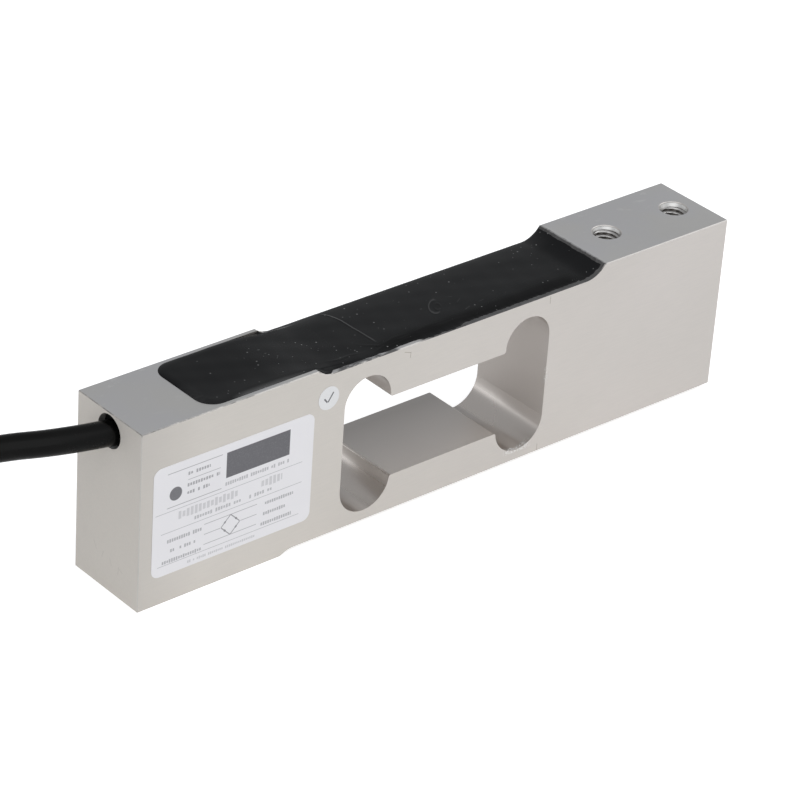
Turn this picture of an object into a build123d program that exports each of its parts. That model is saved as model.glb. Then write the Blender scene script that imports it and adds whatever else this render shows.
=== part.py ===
# Single point load cell: a milled aluminium beam with a two-lobed window, four bonded foil
# strain gauges over the lobes, a wiring board in a pocket at the cable end, black compound
# over both, a plain rating label, and a shielded six-core cable with stripped ends.
# Millimetres. X runs along the beam from the cable end to the load end, Z is up, and the
# origin is under the middle of the beam, in the plane of the mounting pad.

import os
from math import cos, pi, radians, sin, sqrt, tan

from build123d import *

os.makedirs("parts", exist_ok=True)

# Beam blank
beam_length = 150.0
beam_width = 20.0
beam_height = 40.0
edge_break = 0.15
step_cutter_radius = 6.0

# Steps milled along the beam, measured from the loading pad's top and the mounting pad
cable_end_drop = 1.0
cable_end_length = 41.5
gauge_step = 2.5
loading_pad_length = 34.6
underside_relief = 1.0
mounting_pad_length = 34.3

# Window through the beam
window_length = 53.0
flexure_thickness = 2.3
upper_lobe_radius = 5.8
lower_lobe_radius = 6.3
upper_flat_drop = 0.6
lower_flat_drop = 0.45
window_corner_radius = 0.5

# Pockets in the top
lip_width = 1.0
pocket_corner_radius = 4.0
gauge_pocket_depth = 1.35
wiring_pocket_length = 28.3
wiring_pocket_depth = 8.5
wiring_pocket_wall = 4.5

# Cable bore
cable_bore_diameter = 7.0
cable_bore_depth = 4.0

# Tapped holes, M6, two in each pad
thread_diameter = 6.0
thread_countersink_diameter = 6.3
thread_end_distance = 6.0
thread_spacing = 19.0
loading_thread_depth = 18.0
mounting_thread_depth = 15.0
drill_point_angle = 118.0

# Strain gauges
gauge_film_length = 9.0
gauge_film_width = 5.6
gauge_film_thickness = 0.12
gauge_film_corner = 0.5
gauge_row_offset = 4.2
foil_thickness = 0.08
grid_length = 4.6
grid_strand = 0.22
grid_strands = 8
grid_gap = 0.2
tab_length = 1.5
tab_width = 1.7
tab_pitch = 2.6
tab_gap = 0.3

# Wiring board, its copper and the chip resistors on it
board_length = 13.0
board_width = 15.0
board_thickness = 0.8
board_corner = 1.0
board_setback = 11.3
copper_thickness = 0.1
core_pad_length = 2.2
core_pad_width = 1.4
core_pad_pitch = 2.2
lead_pad_length = 1.0
lead_pad_width = 0.92
pad_edge_margin = 0.5
resistor_length = 3.2
resistor_width = 1.6
resistor_height = 0.6
resistor_cap = 0.5
resistor_cap_wrap = 0.05
resistor_row_offset = 3.3
resistor_column_offset = 1.7

# Gauge leads and solder
lead_diameter = 0.3
lead_bend_radius = 1.2
lead_inner_offset = 0.5
lead_outer_offset = 1.12
lead_pad_stagger = 1.3
lead_fan_length = 4.5
lead_fan_distance = 4.35
solder_base_radius = 0.46
solder_top_radius = 0.28
solder_height = 0.55
solder_film = 0.03

# Cable
cable_diameter = 5.1
core_diameter = 0.85
core_circle_radius = 1.25
conductor_diameter = 0.45
shield_outer_diameter = 4.0
shield_inner_diameter = 3.5
shield_length = 1.8
cable_stub_reach = 2.5
cable_bore_drop = 0.54
cable_side_shift = 0.26
cable_exit_heading = 13.2
cable_bore_bend_radius = 26.0
cable_bore_bend_share = 0.999
core_bend_radius = 2.0
core_bend_run = 0.7
core_straight_length = 1.6
core_angles = [165, 225, 105, 285, 45, 345]

# Black compound
seal_recess = 1.6
compound_dip = 0.3
gauge_compound_rise = 0.1
seam_distance = 13.0
ramp_coat = 0.3
ramp_coat_inset = 0.6
ramp_coat_lap = 2.0

# Label and round sticker on the front face
label_height = 24.0
label_corner = 1.8
label_thickness = 0.08
label_end_margin = 3.0
label_sticker_gap = 0.8
label_middle_drop = 1.2
sticker_diameter = 5.0
sticker_window_distance = 4.2
sticker_drop = 6.7

# Free cable: its first run, then the points of its route, chosen by hand, down to the hank
cable_first_run = 9.0
cable_points = [
    (-95.3, 8.4, 34.0),
    (-111.4, 15.6, 30.9),
    (-132.4, 20.8, 20.4),
    (-154.1, 22.9, 10.3),
    (-166.1, 23.1, 7.65),
    (-178.0, 23.1, 7.65),
]

# Tied hank of the stored length, lying on the floor in line with the beam
hank_middle_x = -165.0
hank_middle_y = 7.8
hank_loop_distance = 27.0
hank_loop_radius = 15.3
hank_waist_half_length = 1.0
hank_stub_length = 14.0
tie_width = 2.6
tie_thickness = 0.9
tie_head_length = 4.4
tie_head_height = 2.2
tie_head_width = 4.2
tie_tail_height = 3.0

# Stripped end of the cable
tail_lengths = [29.0, 27.0, 30.5, 28.0, 26.5, 27.5]
tail_strip_length = 5.0
tail_rise = 4.0
tail_drop_run = 7.0
tail_bend_radius = 5.0
tail_pitch_near = 1.4
tail_pitch_far = 1.6
tail_fan_shift = -3.4
shield_tail_diameter = 0.8
shield_tail_side = 1.95
shield_tail_shift = 1.9
shield_tail_length = 24.0

core_colours = ["green", "black", "red", "white", "blue", "brown"]

# Places worked out from the sizes above
cable_end_x = -beam_length / 2
load_end_x = beam_length / 2
half_width = beam_width / 2
cable_end_top = beam_height - cable_end_drop
lip_top = beam_height - gauge_step
gauge_floor = lip_top - gauge_pocket_depth
wiring_floor = cable_end_top - wiring_pocket_depth
pocket_width = beam_width - 2 * lip_width
window_end_x = window_length / 2
upper_lobe_x = window_end_x - upper_lobe_radius
lower_lobe_x = window_end_x - lower_lobe_radius
upper_lobe_z = gauge_floor - flexure_thickness - upper_lobe_radius
lower_lobe_z = underside_relief + flexure_thickness + lower_lobe_radius
upper_flat_z = upper_lobe_z - upper_flat_drop
lower_flat_z = lower_lobe_z - lower_flat_drop
cable_bore_z = cable_end_top - cable_bore_depth
cable_z = cable_bore_z - cable_bore_drop


def step_run(drop):
    """Length along X that the step cutter's arc takes to fall by this much."""
    return sqrt(step_cutter_radius**2 - (step_cutter_radius - drop) ** 2)


cable_lip_end_x = cable_end_x + cable_end_length
cable_step_foot_x = cable_lip_end_x + step_run(cable_end_top - lip_top)
loading_pad_x = load_end_x - loading_pad_length
ramp_foot_x = loading_pad_x - step_run(gauge_step)
mounting_pad_x = cable_end_x + mounting_pad_length
relief_start_x = mounting_pad_x + step_run(underside_relief)
wiring_end_x = -window_end_x - wiring_pocket_wall
pocket_start_x = wiring_end_x - wiring_pocket_length
seam_x = wiring_end_x + seam_distance
gauge_pocket_start_x = wiring_end_x - 2 * pocket_corner_radius


def save(part, name):
    """Names a finished piece and writes it as one STEP file."""
    part.label = name
    export_step(part, f"parts/{name}.step")


def corner_radii(points, share=0.45):
    """The largest even bends: a share of the shorter run over the tangent of half the turn."""
    radii = []
    for before, corner, after in zip(points, points[1:], points[2:]):
        run_in = Vector(corner) - Vector(before)
        run_out = Vector(after) - Vector(corner)
        half_turn = radians(run_in.get_angle(run_out)) / 2
        radii.append(share * min(run_in.length, run_out.length) / tan(half_turn))
    return radii


def wire(points, diameter, radii):
    """A round wire along straight runs joined by arcs."""
    with BuildPart() as piece:
        with BuildLine() as line:
            FilletPolyline(*points, radius=radii)
        start = Plane(Vector(points[0]), z_dir=Vector(points[1]) - Vector(points[0]))
        with BuildSketch(start):
            Circle(diameter / 2)
        sweep(path=line.wire())
    return piece.part


on_base = (Align.CENTER, Align.CENTER, Align.MIN)


def block(x, y, z, length, width, height):
    """A plain block standing on a point: the room that a thin flat piece takes in compound."""
    with BuildPart() as room:
        with Locations((x, y, z)):
            Box(length, width, height, align=on_base)
    return room.part


# Beam: the stepped side profile, then the window, the pockets, the bore and the tapped holes
with BuildPart() as beam:
    with BuildSketch(Plane.XZ):
        with BuildLine():
            Polyline(
                (mounting_pad_x, 0),
                (cable_end_x, 0),
                (cable_end_x, cable_end_top),
                (cable_lip_end_x, cable_end_top),
            )
            TangentArc((cable_step_foot_x, lip_top), (cable_lip_end_x, cable_end_top), tangent=(-1, 0))
            Line((cable_step_foot_x, lip_top), (ramp_foot_x, lip_top))
            TangentArc((ramp_foot_x, lip_top), (loading_pad_x, beam_height), tangent=(1, 0))
            Polyline(
                (loading_pad_x, beam_height),
                (load_end_x, beam_height),
                (load_end_x, underside_relief),
                (relief_start_x, underside_relief),
            )
            TangentArc((relief_start_x, underside_relief), (mounting_pad_x, 0), tangent=(-1, 0))
        make_face()
    extrude(amount=half_width, both=True)
    outline_edges = beam.faces().filter_by(Axis.Y).edges()
    end_edges = beam.faces().filter_by(Axis.X).edges().filter_by(Axis.Y)
    chamfer(outline_edges + end_edges, edge_break)

    with BuildSketch(Plane.XZ) as window:
        with Locations((0, (upper_flat_z + lower_flat_z) / 2)):
            Rectangle(window_length, upper_flat_z - lower_flat_z)
        with Locations((-upper_lobe_x, upper_lobe_z), (upper_lobe_x, upper_lobe_z)):
            Circle(upper_lobe_radius)
        with Locations((-lower_lobe_x, lower_lobe_z), (lower_lobe_x, lower_lobe_z)):
            Circle(lower_lobe_radius)
        wall_height = upper_lobe_z - lower_lobe_z
        wall_width = min(upper_lobe_radius, lower_lobe_radius)
        wall_x = window_end_x - wall_width / 2
        with Locations((-wall_x, lower_lobe_z + wall_height / 2), (wall_x, lower_lobe_z + wall_height / 2)):
            Rectangle(wall_width, wall_height)
        flat_corners = window.vertices().filter_by(
            lambda v: abs(v.X) < min(upper_lobe_x, lower_lobe_x)
        )
        fillet(flat_corners, window_corner_radius)
    extrude(amount=beam_width, both=True, mode=Mode.SUBTRACT)

    with BuildSketch(Plane.XY.offset(wiring_floor)):
        with Locations(((pocket_start_x + wiring_end_x) / 2, 0)):
            RectangleRounded(wiring_end_x - pocket_start_x, pocket_width, pocket_corner_radius)
    extrude(amount=beam_height, mode=Mode.SUBTRACT)
    with BuildSketch(Plane.XY.offset(gauge_floor)):
        with Locations(((gauge_pocket_start_x + ramp_foot_x) / 2, 0)):
            RectangleRounded(ramp_foot_x - gauge_pocket_start_x, pocket_width, pocket_corner_radius)
    extrude(amount=beam_height, mode=Mode.SUBTRACT)

    with BuildSketch(Plane.YZ.offset(cable_end_x)):
        with Locations((0, cable_bore_z)):
            Circle(cable_bore_diameter / 2)
    extrude(amount=pocket_start_x - cable_end_x + pocket_corner_radius, mode=Mode.SUBTRACT)

    countersink_depth = (thread_countersink_diameter - thread_diameter) / 2
    drill_point = thread_diameter / 2 / tan(radians(drill_point_angle / 2))
    tapped_holes = []
    for n in range(2):
        along = thread_end_distance + n * thread_spacing
        tapped_holes.append((load_end_x - along, beam_height, -1, loading_thread_depth))
        tapped_holes.append((cable_end_x + along, 0, 1, mounting_thread_depth))
    for x, pad_z, inwards, depth in tapped_holes:
        with BuildSketch(Plane((x, 0, pad_z), x_dir=(1, 0, 0), z_dir=(0, -1, 0))):
            with BuildLine():
                Polyline(
                    (0, 0),
                    (thread_countersink_diameter / 2, 0),
                    (thread_diameter / 2, inwards * countersink_depth),
                    (thread_diameter / 2, inwards * depth),
                    (0, inwards * (depth + drill_point)),
                    close=True,
                )
            make_face()
        revolve(axis=Axis((x, 0, 0), (0, 0, 1)), mode=Mode.SUBTRACT)
save(beam.part, "beam")

# Strain gauges: a carrier film and an etched foil grid on each, two over each upper lobe.
# The solder tabs face the cable end.
foil_base = gauge_floor + gauge_film_thickness
foil_top = foil_base + foil_thickness
grid_height = grid_strands * grid_strand + (grid_strands - 1) * grid_gap
gauge_places = [
    (f"{end}_{side}", lobe_x, row * gauge_row_offset)
    for end, lobe_x in (("cable_end", -upper_lobe_x), ("load_end", upper_lobe_x))
    for side, row in (("front", -1), ("rear", 1))
]
gauge_tabs = []
gauge_rooms = []
for place, gauge_x, gauge_y in gauge_places:
    with BuildPart() as gauge_film:
        with BuildSketch(Plane.XY.offset(gauge_floor)):
            with Locations((gauge_x, gauge_y)):
                RectangleRounded(gauge_film_length, gauge_film_width, gauge_film_corner)
        extrude(amount=gauge_film_thickness)
    save(gauge_film.part, f"gauge_film_{place}")

    tab_x = gauge_x - grid_length / 2 - tab_gap - tab_length / 2
    with BuildPart() as gauge_foil:
        with BuildSketch(Plane.XY.offset(foil_base)):
            for n in range(grid_strands):
                strand_y = gauge_y - grid_height / 2 + grid_strand / 2 + n * (grid_strand + grid_gap)
                reach = tab_gap if n in (0, grid_strands - 1) else 0
                with Locations((gauge_x - reach / 2, strand_y)):
                    Rectangle(grid_length + reach, grid_strand)
            for n in range(grid_strands - 1):
                gap_y = gauge_y - grid_height / 2 + grid_strand + grid_gap / 2 + n * (grid_strand + grid_gap)
                turn_side = 1 if n % 2 == 0 else -1
                turn_x = gauge_x + turn_side * (grid_length / 2 - grid_strand)
                with Locations((turn_x, gap_y)):
                    Rectangle(2 * grid_strand, grid_gap)
            with Locations((tab_x, gauge_y - tab_pitch / 2), (tab_x, gauge_y + tab_pitch / 2)):
                Rectangle(tab_length, tab_width)
        extrude(amount=foil_thickness)
    save(gauge_foil.part, f"gauge_foil_{place}")

    foil_length = tab_length + tab_gap + grid_length
    foil_x = tab_x - tab_length / 2 + foil_length / 2
    foil_room = block(foil_x, gauge_y, foil_base, foil_length, tab_pitch + tab_width, foil_thickness)
    gauge_rooms += [gauge_film.part, foil_room]
    gauge_tabs += [(tab_x, gauge_y - tab_pitch / 2), (tab_x, gauge_y + tab_pitch / 2)]

# Wiring board on the pocket floor, with pads for six cores, eight gauge leads and four chips
board_x = pocket_start_x + board_setback + board_length / 2
board_top = wiring_floor + board_thickness
copper_top = board_top + copper_thickness
core_pad_x = board_x - board_length / 2 + pad_edge_margin + core_pad_length / 2
lead_pad_x = board_x + board_length / 2 - pad_edge_margin - lead_pad_length / 2
middle_core = (len(core_colours) - 1) / 2
core_pads_y = [(n - middle_core) * core_pad_pitch for n in range(len(core_colours))]
resistor_places = [
    ("zero_balance_resistor", -resistor_column_offset, -resistor_row_offset),
    ("zero_drift_resistor", -resistor_column_offset, resistor_row_offset),
    ("span_trim_resistor", resistor_column_offset, -resistor_row_offset),
    ("span_drift_resistor", resistor_column_offset, resistor_row_offset),
]
with BuildPart() as board:
    with BuildSketch(Plane.XY.offset(wiring_floor)):
        with Locations((board_x, 0)):
            RectangleRounded(board_length, board_width, board_corner)
    extrude(amount=board_thickness)
save(board.part, "wiring_board")

# Gauge leads: the near pairs go straight to their tabs, and the far pairs run between the
# near gauges and fan out to theirs
lead_z = foil_top + solder_film + lead_diameter / 2
near_tabs = gauge_tabs[:4]
far_tabs = gauge_tabs[4:]
inner_pad_x = lead_pad_x - lead_pad_stagger
far_pads = [
    (lead_pad_x, -lead_outer_offset),
    (inner_pad_x, -lead_inner_offset),
    (inner_pad_x, lead_inner_offset),
    (lead_pad_x, lead_outer_offset),
]
lead_pads = [(lead_pad_x, tab_y) for tab_x, tab_y in near_tabs] + far_pads
lead_routes = []
for tab_x, tab_y in near_tabs:
    lead_routes.append([(lead_pad_x, tab_y, copper_top), (lead_pad_x, tab_y, lead_z), (tab_x, tab_y, lead_z)])
for (tab_x, tab_y), (pad_x, row_y) in zip(far_tabs, far_pads):
    fan_x = tab_x - lead_fan_distance - lead_fan_length + gauge_row_offset - abs(tab_y)
    lead_routes.append(
        [
            (pad_x, row_y, copper_top),
            (pad_x, row_y, lead_z),
            (fan_x, row_y, lead_z),
            (fan_x + lead_fan_length, tab_y, lead_z),
            (tab_x, tab_y, lead_z),
        ]
    )
leads = []
for number, route in enumerate(lead_routes, start=1):
    lead = wire(route, lead_diameter, [lead_bend_radius] * (len(route) - 2))
    save(lead, f"gauge_lead_{number}")
    leads.append(lead)

with BuildPart() as copper:
    with BuildSketch(Plane.XY.offset(board_top)):
        with Locations(*[(core_pad_x, y) for y in core_pads_y]):
            Rectangle(core_pad_length, core_pad_width)
        with Locations(*lead_pads):
            Rectangle(lead_pad_length, lead_pad_width)
        for _, dx, dy in resistor_places:
            cap_shift = (resistor_length - resistor_cap) / 2
            with Locations((board_x + dx, dy - cap_shift), (board_x + dx, dy + cap_shift)):
                Rectangle(resistor_width, resistor_cap)
    extrude(amount=copper_thickness)
save(copper.part, "board_copper")
board_room_height = board_thickness + copper_thickness
wiring_rooms = [block(board_x, 0, wiring_floor, board_length, board_width, board_room_height)]

for name, dx, dy in resistor_places:
    with BuildPart() as resistor:
        with BuildSketch(Plane.XY.offset(copper_top)):
            with Locations((board_x + dx, dy)):
                Rectangle(resistor_width, resistor_length)
        extrude(amount=resistor_height)
        with BuildSketch(Plane.XY.offset(copper_top)):
            cap_shift = (resistor_length - resistor_cap) / 2
            with Locations((board_x + dx, dy - cap_shift), (board_x + dx, dy + cap_shift)):
                Rectangle(resistor_width + 2 * resistor_cap_wrap, resistor_cap)
        extrude(amount=resistor_height + resistor_cap_wrap)
    save(resistor.part, name)
    wiring_rooms.append(resistor.part)

# Cable inside the bore: it lies low, and bends a little towards the mouth
exit_turn = radians(cable_exit_heading)
bend_shift = cable_bore_bend_radius * (1 - cos(exit_turn))
bend_tangent = cable_bore_bend_radius * tan(exit_turn / 2)
cable_exit = (cable_end_x, cable_side_shift, cable_z)
stub_y = cable_side_shift - bend_shift
bend_corner_x = cable_end_x + bend_tangent * cos(exit_turn)
stub_end_x = pocket_start_x + cable_stub_reach
stub_end = (stub_end_x, stub_y, cable_z)
bend_corner = (bend_corner_x, stub_y, cable_z)
stub_radii = [cable_bore_bend_radius * cable_bore_bend_share]
with BuildPart() as cable_stub:
    with BuildLine() as stub_line:
        FilletPolyline(stub_end, bend_corner, cable_exit, radius=stub_radii)
    with BuildSketch(Plane((stub_end_x, stub_y, cable_z), z_dir=(-1, 0, 0))):
        Circle(cable_diameter / 2)
    sweep(path=stub_line.wire())
save(cable_stub.part, "cable_jacket_in_bore")

with BuildPart() as shield:
    with BuildSketch(Plane((stub_end_x, stub_y, cable_z), z_dir=(1, 0, 0))):
        Circle(shield_outer_diameter / 2)
        Circle(shield_inner_diameter / 2, mode=Mode.SUBTRACT)
    extrude(amount=shield_length)
save(shield.part, "cable_shield_braid")
with BuildPart() as shield_room:
    with BuildSketch(Plane((stub_end_x, stub_y, cable_z), z_dir=(1, 0, 0))):
        Circle(shield_outer_diameter / 2)
    extrude(amount=shield_length)
wiring_rooms += [cable_stub.part, shield_room.part]

# Six cores in the cable, sorted from the front to the rear, so that none crosses another
core_places = [
    (core_circle_radius * cos(radians(angle)), core_circle_radius * sin(radians(angle)))
    for angle in core_angles
]
core_z = copper_top + solder_film + conductor_diameter / 2
core_end_x = core_pad_x + core_pad_length / 2 - pad_edge_margin
strip_x = board_x - board_length / 2 - pad_edge_margin
cores = []
for colour, (dy, dz), pad_y in zip(core_colours, core_places, core_pads_y):
    start = (stub_end_x, stub_y + dy, cable_z + dz)
    straight_end = (stub_end_x + shield_length + core_bend_run, stub_y + dy, cable_z + dz)
    bend_end = (strip_x - core_straight_length, pad_y, core_z)
    strip_point = (strip_x, pad_y, core_z)
    with BuildPart() as core:
        add(wire([start, straight_end, bend_end, strip_point], core_diameter, [core_bend_radius] * 2))
        with BuildSketch(Plane(strip_point, z_dir=(1, 0, 0))):
            Circle(conductor_diameter / 2)
        extrude(amount=core_end_x - strip_x)
    save(core.part, f"inner_core_{colour}")
    cores.append(core.part)
wiring_rooms += cores


def solder_cones(places, base_z):
    """Small truncated cones of solder on their pads."""
    with BuildPart() as cones:
        with Locations(*[(x, y, base_z) for x, y in places]):
            Cone(solder_base_radius, solder_top_radius, solder_height, align=on_base)
    return cones.part


def solder_joints(name, cones, held):
    """The cones of one place with the wires that they hold taken out of them."""
    with BuildPart() as joints:
        add(cones)
        for piece in held:
            add(piece, mode=Mode.SUBTRACT)
    save(joints.part, name)


core_solder_x = core_end_x - solder_base_radius
core_cones = solder_cones([(core_solder_x, y) for y in core_pads_y], copper_top)
lead_cones = solder_cones(lead_pads, copper_top)
near_tab_cones = solder_cones(near_tabs, foil_top)
far_tab_cones = solder_cones(far_tabs, foil_top)
solder_joints("solder_at_cores", core_cones, cores)
solder_joints("solder_at_board_leads", lead_cones, leads)
solder_joints("solder_at_cable_end_gauges", near_tab_cones, leads[:4])
solder_joints("solder_at_load_end_gauges", far_tab_cones, leads[4:])
wiring_rooms += [core_cones, lead_cones, near_tab_cones] + gauge_rooms[:4] + leads

# Compound plug round the cable in the bore, set back from the mouth
with BuildPart() as bore_seal:
    with BuildSketch(Plane.YZ.offset(cable_end_x + seal_recess)):
        with Locations((0, cable_bore_z)):
            Circle(cable_bore_diameter / 2)
    extrude(amount=pocket_start_x - cable_end_x - seal_recess)
    add(cable_stub.part, mode=Mode.SUBTRACT)
save(bore_seal.part, "cable_bore_seal")

# Black compound in the wiring pocket, as far as the seam, with everything it holds taken out
wiring_surface = cable_end_top - compound_dip
gauge_surface = lip_top + gauge_compound_rise
with BuildPart() as wiring_compound:
    with BuildSketch(Plane.XY.offset(wiring_floor)):
        with Locations(((pocket_start_x + wiring_end_x) / 2, 0)):
            RectangleRounded(wiring_end_x - pocket_start_x, pocket_width, pocket_corner_radius)
    extrude(amount=wiring_pocket_depth)
    with BuildSketch(Plane.XY.offset(gauge_floor)):
        with Locations(((gauge_pocket_start_x + seam_x) / 2, 0)):
            Rectangle(seam_x - gauge_pocket_start_x, pocket_width)
    extrude(amount=cable_end_top - gauge_floor)
    with BuildSketch(Plane.XZ):
        with BuildLine():
            Polyline(
                (pocket_start_x, wiring_surface),
                (cable_lip_end_x - compound_dip, wiring_surface),
                (cable_step_foot_x, gauge_surface),
                (seam_x, gauge_surface),
                (seam_x, beam_height + 1),
                (pocket_start_x, beam_height + 1),
                close=True,
            )
        make_face()
    extrude(amount=beam_width, both=True, mode=Mode.SUBTRACT)
    for piece in wiring_rooms:
        add(piece, mode=Mode.SUBTRACT)
save(wiring_compound.part, "wiring_compound")

# Black compound over the gauges, from the seam to the far end of its pocket and up the ramp
coat_radius = step_cutter_radius - ramp_coat
coat_centre_z = lip_top + step_cutter_radius
coat_top_x = ramp_foot_x + sqrt(coat_radius**2 - (coat_centre_z - beam_height) ** 2)
with BuildPart() as gauge_compound:
    with BuildSketch(Plane.XY.offset(gauge_floor)):
        with Locations(((gauge_pocket_start_x + ramp_foot_x) / 2, 0)):
            RectangleRounded(ramp_foot_x - gauge_pocket_start_x, pocket_width, pocket_corner_radius)
        with Locations(((gauge_pocket_start_x + seam_x) / 2 - beam_width / 2, 0)):
            Rectangle(seam_x - gauge_pocket_start_x + beam_width, beam_width, mode=Mode.SUBTRACT)
    extrude(amount=gauge_surface - gauge_floor)
    with BuildSketch(Plane.XZ):
        with BuildLine():
            TangentArc((ramp_foot_x, lip_top), (loading_pad_x, beam_height), tangent=(1, 0))
            Line((loading_pad_x, beam_height), (coat_top_x, beam_height))
            TangentArc((ramp_foot_x, lip_top + ramp_coat), (coat_top_x, beam_height), tangent=(1, 0))
            Polyline(
                (ramp_foot_x, lip_top + ramp_coat),
                (ramp_foot_x - ramp_coat_lap, lip_top + ramp_coat),
                (ramp_foot_x - ramp_coat_lap, lip_top),
                (ramp_foot_x, lip_top),
            )
        make_face()
    extrude(amount=half_width - ramp_coat_inset, both=True)
    for piece in gauge_rooms + [far_tab_cones] + leads[4:]:
        add(piece, mode=Mode.SUBTRACT)
save(gauge_compound.part, "gauge_compound")

# Plain round sticker beside the window, and the rating label between it and the cable end
sticker_x = -window_end_x - sticker_window_distance
label_start_x = cable_end_x + label_end_margin
label_end_x = sticker_x - sticker_diameter / 2 - label_sticker_gap
label_middle_z = cable_end_top / 2 - label_middle_drop
with BuildPart() as label:
    with BuildSketch(Plane.XZ.offset(half_width)):
        with Locations(((label_start_x + label_end_x) / 2, label_middle_z)):
            RectangleRounded(label_end_x - label_start_x, label_height, label_corner)
    extrude(amount=label_thickness)
save(label.part, "rating_label")

with BuildPart() as sticker:
    with BuildSketch(Plane.XZ.offset(half_width)):
        with Locations((sticker_x, cable_end_top - sticker_drop)):
            Circle(sticker_diameter / 2)
    extrude(amount=label_thickness)
save(sticker.part, "round_sticker")

# Free run of the cable, from the bore's mouth down to the hank
first_bend = Vector(cable_exit) + cable_first_run * Vector(-cos(exit_turn), sin(exit_turn), 0)
cable_route = [Vector(cable_exit), first_bend] + [Vector(point) for point in cable_points]
cable_radii = corner_radii(cable_route)
print("cable bend radii", [round(r, 1) for r in cable_radii])
with BuildPart() as signal_cable:
    with BuildLine() as cable_line:
        FilletPolyline(*cable_route, radius=cable_radii)
    with BuildSketch(Plane(cable_route[0], z_dir=first_bend - cable_route[0])):
        Circle(cable_diameter / 2)
    sweep(path=cable_line.wire())
save(signal_cable.part, "signal_cable")
section = pi * cable_diameter**2 / 4
free_length = cable_line.wire().length
print("free run", round(free_length, 1), "mm, volume over section", round(signal_cable.part.volume / section, 1))

# Hank: two strands at the waist under the tie, a loop at each end, and two turns in the far
# loop. The free run joins it on top, and the cable's end leaves it along the floor.
far_loop_x = hank_middle_x - hank_loop_distance
near_loop_x = hank_middle_x + hank_loop_distance
loop_outer = hank_loop_radius + cable_diameter / 2
loop_inner = hank_loop_radius - cable_diameter / 2
strand_radius = cable_diameter / 2
waist_reach = hank_loop_distance - hank_waist_half_length
waist_fillet = (waist_reach**2 + cable_diameter**2 - loop_outer**2) / (2 * (loop_outer - cable_diameter))
lead_in_y = hank_middle_y + hank_loop_radius
tail_y = hank_middle_y - hank_loop_radius
with BuildPart() as hank:
    with BuildSketch() as hank_floor:
        with Locations((far_loop_x, hank_middle_y), (near_loop_x, hank_middle_y)):
            Circle(loop_outer)
        with Locations((hank_middle_x, hank_middle_y)):
            Rectangle(2 * hank_loop_distance, 2 * cable_diameter)
        waist_corners = hank_floor.vertices().filter_by(
            lambda v: abs(v.X - hank_middle_x) < hank_loop_distance
        )
        fillet(waist_corners, waist_fillet)
        with Locations((far_loop_x, hank_middle_y), (near_loop_x, hank_middle_y)):
            Circle(loop_inner, mode=Mode.SUBTRACT)
    extrude(amount=cable_diameter)
    with BuildSketch(Plane.XY.offset(cable_diameter)):
        with Locations((far_loop_x, hank_middle_y)):
            Circle(loop_outer)
            Circle(loop_inner, mode=Mode.SUBTRACT)
        with Locations((far_loop_x + loop_outer / 2, hank_middle_y)):
            Rectangle(loop_outer, 2 * loop_outer, mode=Mode.SUBTRACT)
    extrude(amount=cable_diameter)
    with BuildSketch(Plane((far_loop_x, lead_in_y, 3 * strand_radius), z_dir=(1, 0, 0))):
        Circle(strand_radius)
    extrude(amount=hank_stub_length)
    with BuildSketch(Plane((far_loop_x, tail_y, strand_radius), z_dir=(1, 0, 0))):
        Circle(strand_radius)
    extrude(amount=hank_stub_length)
    with Locations((hank_middle_x, hank_middle_y, 0)):
        Box(tie_width, 2 * loop_outer, tie_thickness, align=on_base, mode=Mode.SUBTRACT)
    with Locations((hank_middle_x, hank_middle_y, cable_diameter)):
        Box(tie_width, 2 * cable_diameter, tie_thickness, align=on_base)
save(hank.part, "signal_cable_hank")

with BuildPart() as tie:
    with BuildSketch(Plane.YZ.offset(hank_middle_x - tie_width / 2)):
        with Locations((hank_middle_y, tie_thickness + cable_diameter / 2)):
            RectangleRounded(
                2 * cable_diameter + 2 * tie_thickness, cable_diameter + 2 * tie_thickness, 1.5 * tie_thickness
            )
            Rectangle(2 * cable_diameter, cable_diameter, mode=Mode.SUBTRACT)
    extrude(amount=tie_width)
    tie_top = cable_diameter + 2 * tie_thickness
    with BuildSketch(Plane.XY.offset(tie_top)):
        with Locations((hank_middle_x, hank_middle_y)):
            RectangleRounded(tie_head_width, tie_head_length, tie_thickness)
    extrude(amount=tie_head_height)
    with BuildSketch(Plane.XY.offset(tie_top + tie_head_height)):
        with Locations((hank_middle_x, hank_middle_y + tie_head_length / 4)):
            Rectangle(tie_width, tie_thickness)
    extrude(amount=tie_tail_height)
save(tie.part, "cable_tie")

# Stripped end: six cores and the twisted shield fan out of the jacket onto the floor
jacket_end = Vector(far_loop_x + hank_stub_length, tail_y, strand_radius)
floor_z = core_diameter / 2
for n, (colour, (dy, dz), length) in enumerate(zip(core_colours, core_places, tail_lengths)):
    row = n - middle_core
    start = jacket_end + Vector(0, dy, dz)
    leave = start + Vector(tail_rise, 0, 0)
    land_x = jacket_end.X + tail_rise + tail_drop_run
    land = Vector(land_x, tail_y + row * tail_pitch_near + tail_fan_shift / 2, floor_z)
    lie_x = jacket_end.X + length - tail_strip_length
    lie = Vector(lie_x, tail_y + row * tail_pitch_far + tail_fan_shift, floor_z)
    away = (lie - land).normalized()
    with BuildPart() as tail_core:
        add(wire([start, leave, land, lie], core_diameter, [tail_bend_radius] * 2))
        with BuildSketch(Plane(lie, z_dir=away)):
            Circle(conductor_diameter / 2)
        extrude(amount=tail_strip_length)
    save(tail_core.part, f"tail_core_{colour}")

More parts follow.
